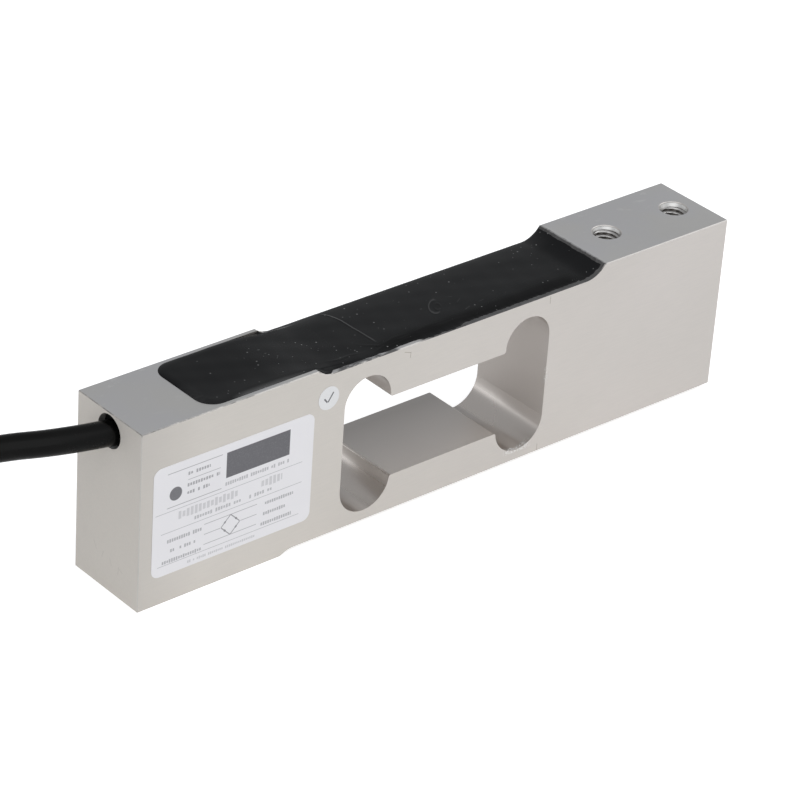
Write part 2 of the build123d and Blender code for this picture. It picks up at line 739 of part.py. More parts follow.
shield_start = jacket_end + Vector(0, shield_tail_side, 0)
shield_leave = shield_start + Vector(tail_rise, 0, 0)
shield_radius = shield_tail_diameter / 2
shield_land = Vector(shield_leave.X + tail_drop_run, shield_start.Y + shield_tail_shift, shield_radius)
shield_end = Vector(jacket_end.X + shield_tail_length, shield_land.Y + shield_tail_shift / 2, shield_radius)
tail_shield = wire(
    [shield_start, shield_leave, shield_land, shield_end], shield_tail_diameter, [tail_bend_radius] * 2
)
save(tail_shield, "tail_shield_braid")
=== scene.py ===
from math import cos, pi, radians, sin

import bpy
import numpy as np
from mathutils import Matrix, Vector


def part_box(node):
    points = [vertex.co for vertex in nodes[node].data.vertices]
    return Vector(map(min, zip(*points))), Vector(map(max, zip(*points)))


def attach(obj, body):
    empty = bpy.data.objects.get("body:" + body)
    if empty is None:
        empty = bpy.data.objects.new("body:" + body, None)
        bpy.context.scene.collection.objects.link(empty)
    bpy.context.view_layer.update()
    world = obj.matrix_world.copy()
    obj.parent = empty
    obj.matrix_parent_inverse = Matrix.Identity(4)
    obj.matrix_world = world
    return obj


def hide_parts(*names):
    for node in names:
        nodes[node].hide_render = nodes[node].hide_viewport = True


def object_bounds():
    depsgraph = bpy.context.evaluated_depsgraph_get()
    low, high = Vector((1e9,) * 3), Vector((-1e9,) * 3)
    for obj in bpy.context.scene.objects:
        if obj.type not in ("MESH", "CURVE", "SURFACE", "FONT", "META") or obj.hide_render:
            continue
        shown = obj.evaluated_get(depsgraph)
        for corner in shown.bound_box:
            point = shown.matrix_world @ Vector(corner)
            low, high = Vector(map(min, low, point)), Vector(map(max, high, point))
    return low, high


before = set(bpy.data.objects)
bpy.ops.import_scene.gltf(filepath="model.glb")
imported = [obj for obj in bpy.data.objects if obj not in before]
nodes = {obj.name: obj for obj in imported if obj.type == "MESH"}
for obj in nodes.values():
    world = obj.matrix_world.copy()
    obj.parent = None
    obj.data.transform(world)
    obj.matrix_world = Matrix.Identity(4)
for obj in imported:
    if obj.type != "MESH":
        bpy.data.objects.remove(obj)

# Looks of a single point load cell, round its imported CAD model. Metres, in the model's frame:
# X along the beam towards the loading end, Y to the rear, Z up.

MM = 0.001
cad_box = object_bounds()
wiring_low, wiring_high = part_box("wiring_compound")
label_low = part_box("rating_label")[0]
sticker_low, sticker_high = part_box("round_sticker")

# Camera, at the photograph's place and turn, with its right-hand side a little higher
camera_place = Vector((-0.41138, -0.45184, 0.37522))
camera_forward = Vector((0.57794, 0.64011, -0.50621))
camera_right = Vector((0.76434, -0.64193, 0.06092))
camera_lens = 159.90

camera_data = bpy.data.cameras.new("camera")
camera_data.lens = camera_lens
camera_data.sensor_width = 36.0
camera_data.clip_start = 0.01
camera = bpy.data.objects.new("camera", camera_data)
camera_up = camera_right.cross(camera_forward)
camera_turn = Matrix((camera_right, camera_up, -camera_forward)).transposed()
camera.matrix_world = Matrix.Translation(camera_place) @ camera_turn.to_4x4()
bpy.context.scene.collection.objects.link(camera)
bpy.context.scene.camera = camera
bpy.context.scene.view_settings.view_transform = "Standard"


# Shader helpers
def feed(socket, value):
    """Links an output to a socket, or sets the socket's own value."""
    if isinstance(value, bpy.types.NodeSocket):
        socket.id_data.links.new(value, socket)
    else:
        socket.default_value = value


def node_beside(kind, *values):
    """A new node in the tree that the first output among some values is in."""
    tree = next(v.id_data for v in values if isinstance(v, bpy.types.NodeSocket))
    return tree.nodes.new(kind)


def maths(operation, *values, clamp=False):
    """One Math node."""
    n = node_beside("ShaderNodeMath", *values)
    n.operation = operation
    n.use_clamp = clamp
    for socket, value in zip(n.inputs, values):
        feed(socket, value)
    return n.outputs[0]


def in_a_row(operation, values):
    """Math nodes of one kind, each with the result so far and the next value."""
    result = values[0]
    for value in values[1:]:
        result = maths(operation, result, value)
    return result


def product(*values):
    """All the values multiplied."""
    return in_a_row("MULTIPLY", values)


def add(*values):
    """The sum of the values."""
    return in_a_row("ADD", values)


def most(*values):
    """The largest of the values."""
    return in_a_row("MAXIMUM", values)


def less(first, second):
    """The first value less the second."""
    return maths("SUBTRACT", first, second)


def unsigned(value):
    """A value without its sign."""
    return maths("ABSOLUTE", value)


def distance(first, second):
    """The root of the sum of two squares."""
    return maths("SQRT", add(product(first, first), product(second, second)))


def spread(value, low, high, to_low=0.0, to_high=1.0, smooth=False):
    """One Map Range node: low to high becomes to_low to to_high, held at both ends."""
    n = node_beside("ShaderNodeMapRange", value)
    n.interpolation_type = "SMOOTHSTEP" if smooth else "LINEAR"
    names = ("Value", "From Min", "From Max", "To Min", "To Max")
    for name, v in zip(names, (value, low, high, to_low, to_high)):
        feed(n.inputs[name], v)
    return n.outputs["Result"]


def spread_mm(value, low, high, to_low=0.0, to_high=1.0):
    """The same for a place or a distance, with low and high in millimetres."""
    return spread(value, low * MM, high * MM, to_low, to_high)


def between_mm(value, low, high, soft):
    """1 where a value lies between two limits, with soft ends, all in millimetres."""
    low, high, soft = low * MM, high * MM, soft * MM
    above = spread(value, low - soft, low + soft)
    below = spread(value, high - soft, high + soft, 1.0, 0.0)
    return product(above, below)


def blend(share, first, second):
    """One colour Mix node, whose two colours are its inputs 6 and 7."""
    n = node_beside("ShaderNodeMix", share, first, second)
    n.data_type = "RGBA"
    for index, value in ((0, share), (6, first), (7, second)):
        if index and not isinstance(value, bpy.types.NodeSocket):
            value = (*value, 1.0)
        feed(n.inputs[index], value)
    return n.outputs[2]


def noise(vector, scale, detail, rough=0.5):
    """One Noise Texture node."""
    n = node_beside("ShaderNodeTexNoise", vector)
    feed(n.inputs["Vector"], vector)
    n.inputs["Scale"].default_value = scale
    n.inputs["Detail"].default_value = detail
    n.inputs["Roughness"].default_value = rough
    return n.outputs["Fac"]


def stretched(vector, scale):
    """The coordinates times one factor on each axis."""
    n = node_beside("ShaderNodeVectorMath", vector)
    n.operation = "MULTIPLY"
    feed(n.inputs[0], vector)
    n.inputs[1].default_value = scale
    return n.outputs[0]


def split(vector):
    """The three coordinates as values."""
    n = node_beside("ShaderNodeSeparateXYZ", vector)
    feed(n.inputs[0], vector)
    return n.outputs[:3]


def upright(across, up):
    """Two values as the X and Z of a vector, for a bar on a face that does not look forwards."""
    n = node_beside("ShaderNodeCombineXYZ", across)
    feed(n.inputs[0], across)
    feed(n.inputs[2], up)
    return n.outputs[0]


def bumped(height, depth, strength=1.0):
    """One Bump node, its height in metres times depth."""
    n = node_beside("ShaderNodeBump", height)
    n.inputs["Strength"].default_value = strength
    n.inputs["Distance"].default_value = depth
    feed(n.inputs["Height"], height)
    return n.outputs["Normal"]


VALUE = "NodeSocketFloat"
VECTOR = "NodeSocketVector"


def new_group(name, values, outputs):
    """A shader node group that takes a vector and named values. Returns its tree, its inputs and
    its output node."""
    tree = bpy.data.node_groups.new(name, "ShaderNodeTree")
    tree.interface.new_socket("Vector", in_out="INPUT", socket_type=VECTOR)
    for socket in values:
        tree.interface.new_socket(socket, in_out="INPUT", socket_type=VALUE)
    for socket in outputs:
        tree.interface.new_socket(socket, in_out="OUTPUT", socket_type=VALUE)
    return tree, tree.nodes.new("NodeGroupInput").outputs, tree.nodes.new("NodeGroupOutput")


def use_group(group, **values):
    """Places a group in a material, with an underscore for each space in a socket's name."""
    n = node_beside("ShaderNodeGroup", *values.values())
    n.node_tree = group
    for name, value in values.items():
        feed(n.inputs[name.replace("_", " ")], value)
    return n.outputs


def make_grain():
    """Uneven finish: broad clouds and a fine grain, each 0 to 1, from two noises."""
    tree, given, out = new_group("grain", ("Broad Scale", "Fine Scale"), ("Broad", "Fine"))
    for scale, result in (("Broad Scale", "Broad"), ("Fine Scale", "Fine")):
        n = tree.nodes.new("ShaderNodeTexNoise")
        n.inputs["Detail"].default_value = 4.0
        feed(n.inputs["Vector"], given["Vector"])
        feed(n.inputs["Scale"], given[scale])
        feed(out.inputs[result], n.outputs["Fac"])
    return tree


bar_edge = (-0.02, 0.03)


def make_bar():
    """A flat bar drawn on the front face: 1 inside, where the point, turned about the bar's middle,
    is less than half a length along and half a height across, with a soft edge."""
    sizes = ("Middle X", "Middle Z", "Length", "Height", "Turn")
    tree, given, out = new_group("bar", sizes, ("Mask",))
    x, _, z = split(given["Vector"])
    along = less(x, given["Middle X"])
    up = less(z, given["Middle Z"])
    cosine = maths("COSINE", given["Turn"])
    sine = maths("SINE", given["Turn"])
    first = add(product(along, cosine), product(up, sine))
    second = less(product(up, cosine), product(along, sine))
    masks = []
    for off_middle, size in ((first, "Length"), (second, "Height")):
        inside = less(product(given[size], 0.5), unsigned(off_middle))
        masks.append(spread_mm(inside, *bar_edge))
    feed(out.inputs["Mask"], product(*masks))
    return tree


empty_share = 0.16
block_share = 0.70


def make_marks():
    """Generic print along a line: plain blocks of one pitch, some left empty, each as tall as its
    own white noise says."""
    sizes = ("Start X", "Middle Z", "Length", "Height", "Pitch")
    tree, given, out = new_group("marks", sizes, ("Mask",))
    x, _, z = split(given["Vector"])
    along = less(x, given["Start X"])
    up = unsigned(less(z, given["Middle Z"]))
    cell = maths("DIVIDE", along, given["Pitch"])
    joined = tree.nodes.new("ShaderNodeCombineXYZ")
    feed(joined.inputs[0], maths("FLOOR", cell))
    feed(joined.inputs[1], given["Middle Z"])
    feed(joined.inputs[2], given["Start X"])
    random = tree.nodes.new("ShaderNodeTexWhiteNoise")
    feed(random.inputs["Vector"], joined.outputs[0])
    number = random.outputs["Value"]
    filled = maths("GREATER_THAN", number, empty_share)
    tall = product(given["Height"], spread(number, empty_share, 1.0, 0.30, 0.50))
    block = maths("LESS_THAN", maths("FRACT", cell), block_share)
    start = maths("GREATER_THAN", along, 0.0)
    end = maths("LESS_THAN", along, given["Length"])
    mask = product(filled, block, start, end, maths("LESS_THAN", up, tall))
    feed(out.inputs["Mask"], mask)
    return tree


def make_specks():
    """Sparse small dots: the cells of a Voronoi pattern whose own number is under a limit hold a
    dot."""
    tree, given, out = new_group("specks", ("Scale", "Size", "Share"), ("Mask",))
    cells = tree.nodes.new("ShaderNodeTexVoronoi")
    feed(cells.inputs["Vector"], given["Vector"])
    feed(cells.inputs["Scale"], given["Scale"])
    numbers = split(cells.outputs["Color"])
    chosen = maths("GREATER_THAN", given["Share"], numbers[0])
    size = product(given["Size"], numbers[1])
    away = spread(cells.outputs["Distance"], 0.0, size)
    dot = maths("SUBTRACT", 1.0, away, clamp=True)
    feed(out.inputs["Mask"], product(chosen, dot))
    return tree


grain_group = make_grain()
bar_group = make_bar()
marks_group = make_marks()
speck_group = make_specks()


def bar_mask(vector, middle_x, middle_z, length, height, turn):
    """The bar group, its sizes in millimetres and its turn in radians."""
    return use_group(
        bar_group, Vector=vector, Middle_X=middle_x * MM, Middle_Z=middle_z * MM,
        Length=length * MM, Height=height * MM, Turn=turn,
    )["Mask"]


def speck_mask(vector, scale, size, share):
    """The speck group."""
    return use_group(speck_group, Vector=vector, Scale=scale, Size=size, Share=share)["Mask"]


def new_material(name, roughness, metallic=0.0, specular=0.5):
    """A material with its Principled shader, and the object coordinates."""
    material = bpy.data.materials.new(name)
    material.use_nodes = True
    tree = material.node_tree
    skin = tree.nodes["Principled BSDF"]
    skin.inputs["Roughness"].default_value = roughness
    skin.inputs["Metallic"].default_value = metallic
    skin.inputs["Specular IOR Level"].default_value = specular
    place = tree.nodes.new("ShaderNodeTexCoord").outputs["Object"]
    return material, skin.inputs, place


def grain_of(place, broad, fine):
    """The grain group, with the scales of its clouds and of its grain."""
    return use_group(grain_group, Vector=place, Broad_Scale=broad, Fine_Scale=fine)


def plain_finish(name, colour, roughness, metallic=0.0, fine=2500.0):
    """A small part's finish: one colour with slight clouds, uneven gloss and a fine grain."""
    shade = 0.12
    uneven = 0.15
    material, skin, place = new_material(name, roughness, metallic)
    grain = grain_of(place, 180.0, fine)
    darker = tuple(c * (1 - shade) for c in colour)
    lighter = tuple(min(1.0, c * (1 + shade)) for c in colour)
    feed(skin["Base Color"], blend(grain["Broad"], darker, lighter))
    gloss = (roughness * (1 - uneven), roughness * (1 + uneven))
    feed(skin["Roughness"], spread(grain["Fine"], 0.3, 0.7, *gloss))
    feed(skin["Normal"], bumped(grain["Fine"], 0.004 * MM))
    return material


# Cable: exit and points of the free run, as in the model, then the turns of the tied hank
cable_exit = Vector((-0.075, 0.00026, 0.03446))
exit_turn = radians(13.2)
first_run = 9.0 * MM
cable_points = [
    (-0.0953, 0.0084, 0.0340),
    (-0.1114, 0.0156, 0.0309),
    (-0.1324, 0.0208, 0.0204),
    (-0.1541, 0.0229, 0.0103),
    (-0.1661, 0.0231, 0.00765),
    (-0.1780, 0.0231, 0.00765),
]
cable_diameter = 5.1 * MM
hank_middle = Vector((-0.165, 0.0078, 0.0))
loop_radius = 15.3 * MM
loop_distance = 27.0 * MM
waist_half_length = 1.0 * MM
waist_radius = 17.58 * MM
waist_turn = 52.25
floor_strand = cable_diameter / 2
upper_strand = 1.5 * cable_diameter
crossing_strand = 6.6 * MM
tie_lift = 0.9 * MM
tail_runs = (6.0 * MM, 14.0 * MM)
points_per_turn = 16


def arc_points(centre, radius, start, end, start_z, end_z):
    """Even points on an arc, from one angle to another in degrees: centre plus radius times the
    angle's cosine and sine, a little outside, because the spline passes inside its points. The
    height eases from its first to its last value."""
    steps = max(2, round(abs(end - start) / 360 * points_per_turn))
    t = (np.arange(steps) + 0.5) / steps
    angle = np.radians(start + (end - start) * t)
    outside = 1 / (0.75 + 0.25 * cos(radians((end - start) / steps)))
    x = centre[0] + radius * outside * np.cos(angle)
    y = centre[1] + radius * outside * np.sin(angle)
    z = start_z + (end_z - start_z) * t * t * (3 - 2 * t)
    return list(zip(x, y, z))


def hank_points():
    """The hank's line: over the far loop, down to the waist, round the near loop, back through the
    waist, and round the far loop again on the floor."""
    far = hank_middle + Vector((-loop_distance, 0, 0))
    near = hank_middle + Vector((loop_distance, 0, 0))
    side = cable_diameter / 2 + waist_radius
    front = [hank_middle + Vector((s * waist_half_length, -side, 0)) for s in (-1, 1)]
    rear = [hank_middle + Vector((s * waist_half_length, side, 0)) for s in (-1, 1)]
    away = 90 - waist_turn
    floor, upper, middle = floor_strand, upper_strand, crossing_strand
    waist = floor + tie_lift
    points = []
    for arc in (
        (far, loop_radius, 90, 292, upper, upper),
        (far, loop_radius, 292, 360 - away, upper, middle),
        (front[0], waist_radius, 180 - away, 90, middle, waist),
        (front[1], waist_radius, 90, away, waist, floor),
        (near, loop_radius, 180 + away, 540 - away, floor, floor),
        (rear[1], waist_radius, -away, -90, floor, waist),
        (rear[0], waist_radius, -90, away - 180, waist, floor),
        (far, loop_radius, away, 270, floor, floor),
    ):
        points += arc_points(*arc)
    tail_y = far.y - loop_radius
    return points + [(far.x + run, tail_y, floor) for run in tail_runs]


def make_cable():
    """The signal cable: one smooth spline with the route's points, with a round section whose size
    is each point's radius."""
    first_bend = cable_exit + first_run * Vector((-cos(exit_turn), sin(exit_turn), 0))
    points = [tuple(cable_exit), tuple(first_bend)] + cable_points + hank_points()
    data = bpy.data.curves.new("signal_cable_jacket", "CURVE")
    data.dimensions = "3D"
    data.bevel_depth = 1.0
    data.bevel_resolution = 7
    data.resolution_u = 8
    data.use_fill_caps = True
    spline = data.splines.new("NURBS")
    spline.points.add(len(points) - 1)
    for point, place in zip(spline.points, points):
        point.co = (*place, 1.0)
        point.radius = cable_diameter / 2
    spline.order_u = 3
    spline.use_endpoint_u = True
    cable = bpy.data.objects.new("signal_cable_jacket", data)
    bpy.context.scene.collection.objects.link(cable)
    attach(cable, "root")
    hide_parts("signal_cable", "signal_cable_hank")
    return cable


core_colours = {
    "green": (0.03, 0.22, 0.07),
    "black": (0.012, 0.012, 0.013),
    "red": (0.45, 0.02, 0.018),
    "white": (0.72, 0.72, 0.70),
    "blue": (0.02, 0.07, 0.38),
    "brown": (0.13, 0.055, 0.022),
}
cable = make_cable()
cable_pieces = [nodes["cable_tie"], nodes["tail_shield_braid"]]
cable_pieces += [nodes[f"tail_core_{colour}"] for colour in core_colours]


# Mesh helpers
def new_piece(name, vertices, faces, material, smooth_angle):
    """A mesh piece on the beam, smooth but for edges sharper than an angle."""
    mesh = bpy.data.meshes.new(name)
    mesh.from_pydata(vertices.tolist(), [], faces)
    mesh.polygons.foreach_set("use_smooth", [True] * len(mesh.polygons))
    mesh.update()
    mesh.set_sharp_from_angle(angle=radians(smooth_angle))
    mesh.materials.append(material)
    piece = bpy.data.objects.new(name, mesh)
    bpy.context.scene.collection.objects.link(piece)
    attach(piece, "root")
    return piece


def grid_faces(rows, columns, first=0, round_rows=False, flip=False):
    """Quads of a grid numbered row by row. round_rows joins each row's end to its start."""
    last = columns if round_rows else columns - 1
    r, c = np.meshgrid(np.arange(rows - 1), np.arange(last), indexing="ij")
    here, after = r * columns, (c + 1) % columns
    there = here + columns
    quads = np.stack([here + c, there + c, there + after, here + after], axis=-1)
    quads = quads.reshape(-1, 4) + first
    return quads[:, ::-1] if flip else quads


def closed_slab(top, bottom):
    """A solid between two grids of points of the same size: both grids, and the walls round
    them."""
    rows, columns = top.shape[:2]
    count = rows * columns
    number = np.arange(count).reshape(rows, columns)
    sides = [number[0, :-1], number[:-1, -1], number[-1, :0:-1], number[:0:-1, 0]]
    ring = np.concatenate(sides)
    after = np.roll(ring, -1)
    walls = np.stack([ring, ring + count, after + count, after], axis=-1)
    lids = [grid_faces(rows, columns), grid_faces(rows, columns, count, flip=True)]
    faces = np.concatenate([*lids, walls[:, ::-1]])
    return np.concatenate([top.reshape(-1, 3), bottom.reshape(-1, 3)]), faces


def ease(x, low, high):
    """0 below low, 1 above high, and a smooth S between them."""
    t = np.clip((x - low) / (high - low), 0, 1)
    return t * t * (3 - 2 * t)


def hill(x, middle, width):
    """A bell: e to the minus square of the distance over the width."""
    return np.exp(-(((x - middle) / width) ** 2))


# Black compound. All values here are millimetres, made metres at the end.
cutter_radius = 6.0
cable_deck = 39.0
gauge_deck = 37.5
deck_step_foot = -29.53
deck_step_run = 3.97
ramp_foot = 35.53
ramp_run = 4.87
pocket_half_width = 9.0
pocket_corner = 4.0
wiring_floor = 30.5
gauge_floor = 36.15
wiring_end = -31.0
pocket_start = wiring_low.x / MM
seam = wiring_high.x / MM
seam_middle = -16.03
seam_slope = 0.04
seam_bend = 0.0075
seam_bend_start = 3.0
ring_middle = (2.9, -1.3)
ring_across = (0.766, 0.643)
ring_along = (0.67, 0.742)
ring_width = 1.25
ring_length = 2.7
dome_rise = 0.34
gauge_rise = 0.26
coat_rise = 0.20
coat_end = 40.0
rim_width = 1.8
beam_edge = 9.93
compound_columns = 96

# Middle x and y, half length, turn in radians, and height
wrinkles = [
    (-13.5, -6.6, 3.2, 0.10, 0.06),
    (-9.5, -7.2, 2.8, -0.08, 0.05),
    (-5.0, -6.4, 3.6, 0.05, 0.035),
    (1.5, -7.4, 4.0, -0.04, 0.03),
    (-16.0, -7.8, 2.2, 0.20, 0.07),
    (-11.5, -8.1, 3.0, 0.02, 0.07),
    (-17.6, -6.0, 1.9, -0.75, 0.05),
    (-25.0, -6.9, 3.4, -0.05, 0.07),
]


def deck(x):
    """The beam's top beside the pockets: level, a cutter's arc down at the cable end's step, level,
    and a cutter's arc up to the loading pad."""
    down, up = (
        gauge_deck + cutter_radius - np.sqrt(cutter_radius**2 - np.clip(run, 0, most_run) ** 2)
        for run, most_run in ((deck_step_foot - x, deck_step_run), (x - ramp_foot, ramp_run))
    )
    return np.where(x < 0, np.minimum(down, cable_deck), up)


def front_edge(x):
    """Where the compound ends towards the front: on the pocket's wall, over the lip in a drip at
    the step, ragged to the beam's edge along the gauge pocket's middle, then on the wall again."""
    on_lip = 0.10 + 0.05 * np.sin(x * 0.9) * np.sin(x * 0.37 + 1) + 0.04 * np.sin(x * 2.3 + 2)
    edge = pocket_half_width + ease(x, -33.4, -31.6) * on_lip
    spill = 0.88 * ease(x, -33.0, -31.9) * (1 - ease(x, -30.6, -29.0))
    rough = 0.64 + 0.18 * np.sin(x * 2.3) * np.sin(x * 1.1 + 0.7)
    rough = rough + 0.07 * np.sin(x * 5.1 + 1) * np.sin(x * 3.7)
    ragged = rough * ease(x, -8.2, -6.6) * (1 - ease(x, 1.6, 4.4))
    ragged = ragged + 0.35 * hill(x, -15.5, 1.6) + 0.2 * hill(x, -19.5, 1.5)
    waves = 0.10 * np.sin(x * 2.1) * np.sin(x * 0.83) + 0.07 * np.sin(x * 5.3)
    ragged = ragged + waves * ease(x, 3, 6)
    return -np.minimum(edge + spill + ragged, beam_edge)


def rear_edge(x):
    """Where it ends towards the rear: on the pocket's wall, then over the whole lip."""
    return pocket_half_width + 0.84 * ease(x, -33.2, -29.5) + 0.03 * np.sin(x * 0.8)


def compound_relief(x, y):
    """Fine shapes on the compound: two low waves, a ridge at the seam with a ledge before it,
    wrinkles near the front, and a faint ring mark with a smaller one in it, all bells in
    section."""
    waves = 0.035 * np.sin(0.31 * x + 0.22 * y) * np.sin(0.17 * x - 0.41 * y + 1.3)
    waves = waves + 0.02 * np.sin(0.9 * x + 0.5 * y + 0.6) * np.sin(0.7 * y - 0.35 * x)
    past_bend = np.maximum(y - seam_bend_start, 0)
    seam_line = seam_middle - seam_slope * y - seam_bend * past_bend**3
    ridge = 0.11 * hill(x, seam_line, 0.20) * ease(y, -6.0, -4.0)
    ledge = 0.07 * (1 - ease(x, seam_line - 0.1, seam_line + 0.5))
    ledge = ledge * ease(x, seam - 12, seam - 2) * ease(y, -7, -2)
    wrinkle = 0.0
    for middle, side, length, turn, tall in wrinkles:
        along = (x - middle) * np.cos(turn) + (y - side) * np.sin(turn)
        across = (y - side) * np.cos(turn) - (x - middle) * np.sin(turn)
        swing = 0.18 * np.sin(along)
        wrinkle = wrinkle + tall * hill(along, 0, length) * hill(across, swing, 0.28)
    ring_x, ring_y = x - ring_middle[0], y - ring_middle[1]
    across = ring_across[0] * ring_x - ring_across[1] * ring_y
    away = ring_along[0] * ring_x + ring_along[1] * ring_y
    ring = 0.07 * hill(np.hypot(across / ring_width, away / ring_length), 1, 0.13)
    ring = ring * (1 - ease(across + 0.2 * away, -0.3, 0.9))
    ring = ring + 0.05 * hill(np.hypot((across - 0.5) / 0.6, away / 1.3), 1, 0.22)
    return waves + ridge + ledge + wrinkle + ring


def compound_height(x, y, start, end):
    """Height of the compound: the deck with its step smoothed, plus a rise and the relief, which
    round down to the rim as a quarter ellipse."""
    level = cable_deck + (gauge_deck - cable_deck) * ease(x, -43.0, -22.5)
    past_wall = ease(np.abs(y), 8.3, 9.05) * ease(x, -34.2, -33.0)
    on_lip = np.maximum(past_wall, ease(x, 0, 1))
    level = level + (deck(x) - level) * on_lip
    rise = dome_rise + (gauge_rise - dome_rise) * ease(x, -43, -24)
    rise = rise + (coat_rise - gauge_rise) * ease(x, 34, 37)
    q_x = np.maximum(pocket_corner - (x - start), 0)
    q_y = np.maximum(np.abs(y) - (pocket_half_width - pocket_corner), 0)
    left = np.where(x - start < pocket_corner, pocket_corner - np.hypot(q_x, q_y), pocket_corner)
    left = np.minimum(left, x - start)
    room = np.minimum(y - front_edge(x), rear_edge(x) - y)
    room = np.minimum(room, np.minimum(left, end + 0.2 - x))
    t = np.clip(room / rim_width, 0, 1)
    round_rim = np.sqrt(np.clip(1 - (1 - t) ** 2, 0, 1))
    return level - 0.02 + rise * round_rim + compound_relief(x, y) * round_rim


def make_compound(name, node, stations, material):
    """A compound piece along X, from the first station to the last, each with the spacing of rows
    up to the next: a grid whose columns run from the front edge to the rear edge, closer together
    near both, over a copy of it on the pocket's floor."""
    spans = [
        np.linspace(a, b, round((b - a) / step), endpoint=False)
        for (a, step), (b, _) in zip(stations, stations[1:])
    ]
    x = np.concatenate(spans + [[stations[-1][0]]])
    v = 0.5 - 0.5 * np.cos(np.linspace(0, pi, compound_columns))
    v = 0.6 * v + 0.4 * np.linspace(0, 1, compound_columns)
    before = np.clip(pocket_corner - (x - pocket_start), 0, pocket_corner)
    corner = pocket_corner - np.sqrt(np.clip(pocket_corner**2 - before**2, 0, None))
    front = front_edge(x) + corner
    rear = rear_edge(x) - corner
    grid_y = front[:, None] + (rear - front)[:, None] * v[None, :]
    grid_x = np.repeat(x[:, None], compound_columns, axis=1)
    torn = 0.05 * np.sin(grid_y * 1.1) + 0.02 * np.sin(grid_y * 4.3 + 1)
    grid_x = grid_x + ease(grid_x, 38.5, coat_end) * torn
    height = compound_height(grid_x, grid_y, pocket_start, coat_end)
    top = np.stack([grid_x, grid_y, height], axis=-1) * MM
    floor = wiring_floor + (gauge_floor - wiring_floor) * ease(grid_x, wiring_end - 0.4, wiring_end)
    on_ramp = grid_x > ramp_foot - 4
    floor = np.where(on_ramp, np.minimum(height, deck(grid_x)) - 0.03, floor)
    bottom_y = np.clip(grid_y, -pocket_half_width, pocket_half_width)
    bottom_y = np.where(on_ramp, grid_y, bottom_y)
    bottom = np.stack([grid_x, bottom_y, floor], axis=-1) * MM
    vertices, faces = closed_slab(top, bottom)
    piece = new_piece(name, vertices, faces[:, ::-1].tolist(), material, 50)
    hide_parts(node)


# Middle x and y, length and turn of small strokes in the compound
compound_strokes = [
    (8.5, -1.9, 1.6, 0.5),
    (12.1, -4.4, 1.9, 0.1),
    (7.9, 0.4, 1.3, -0.6),
    (14.3, -5.8, 1.5, -0.2),
    (8.1, -5.1, 1.8, 0.3),
    (4.7, 1.2, 1.2, 1.1),
    (18.2, -4.9, 1.2, 0.7),
]
stroke_width = 0.16
roll_start = -3.4
roll_growth = 0.95


def compound_specks(place, x, y):
    """Small specks and dust in clouds, more of them round a spot on the step."""
    cloud = noise(stretched(place, (1.0, 1.3, 1.0)), 85.0, 2.0)
    step_x = product(less(x, -31.5 * MM), 1 / (9.5 * MM))
    step_y = product(less(y, -1.5 * MM), 1 / (6.5 * MM))
    off_step = distance(step_x, step_y)
    patchy = spread(cloud, 0.36, 0.50, 0.4, 1.0)
    near_step = product(spread(off_step, 0.35, 1.1, 0.42, 0.0), patchy)
    crowd = most(spread(cloud, 0.46, 0.64, 0.015, 0.20), near_step)
    specks = speck_mask(place, 1600.0, 0.36, crowd)
    dust = speck_mask(stretched(place, (1.0, 1.6, 1.0)), 420.0, 0.20, crowd)
    return specks, dust


def painted_seam_and_ring_highlights(x, y, wander):
    """Painted highlights on the compound's own seam ridge and on one side of its ring mark."""
    past_bend = most(less(y, seam_bend_start * MM), 0.0)
    bend = product(past_bend, past_bend, past_bend, seam_bend / MM**2)
    seam_x = less(seam_middle * MM, add(product(y, seam_slope), bend))
    off_seam = unsigned(add(less(x, seam_x), product(wander, 0.2 * MM)))
    seam_line = spread_mm(off_seam, 0.05, 0.20, 1.0, 0.0)
    seam_line = product(seam_line, between_mm(y, -5.2, 9.3, 0.7))
    ring_x = less(x, ring_middle[0] * MM)
    ring_y = add(y, -ring_middle[1] * MM)
    across = less(product(ring_x, ring_across[0]), product(ring_y, ring_across[1]))
    away = add(product(ring_x, ring_along[0]), product(ring_y, ring_along[1]))
    long = maths("DIVIDE", away, ring_length * MM)
    wide = maths("DIVIDE", across, ring_width * MM)
    off_ring = unsigned(less(distance(long, wide), 1.0))
    ring = spread(off_ring, 0.03, 0.13, 1.0, 0.0)
    one_side = spread(add(wide, product(long, 0.4)), 0.1, 0.7, 1.0, 0.0)
    ring = product(ring, one_side)
    seam_light = spread_mm(y, 2.0, 7.0, 0.17, 0.32)
    return most(product(seam_line, seam_light), product(ring, 0.13))


def painted_compound_sheen(x, y, grain):
    """Painted sheen on the compound, grey hazes of painted reflection: along the fill's front rim
    and its cable end corner, over the coat's rear part and rim, and on the hump behind the step."""
    front_rim_sheen = product(spread_mm(y, -7.7, -8.9), between_mm(x, -52, -34.5, 2))
    front_rim_sheen = product(front_rim_sheen, spread(grain["Broad"], 0.3, 0.6, 0.5, 1.0))
    along_coat = between_mm(x, -29, 39.5, 1)
    rim_sheen = product(spread_mm(y, 9.1, 9.75), along_coat, 0.45)
    rear_sheen = product(spread_mm(y, 4.5, 9.0), along_coat, 0.14)
    corner_sheen = product(spread_mm(x, -56, -61), spread_mm(y, 1.0, -5.0), 0.45)
    corner_sheen = product(corner_sheen, spread(grain["Fine"], 0.35, 0.65, 0.5, 1.0))
    along_fill = between_mm(x, -64, -36, 3)
    front_sheen = product(spread_mm(y, -3.0, -8.0), along_fill, 0.12)
    on_hump = between_mm(x, -30, -18.5, 2)
    hump_sheen = product(spread_mm(y, 6.0, 9.6), on_hump, 0.35)
    return most(front_rim_sheen, corner_sheen, front_sheen, rim_sheen, rear_sheen, hump_sheen)


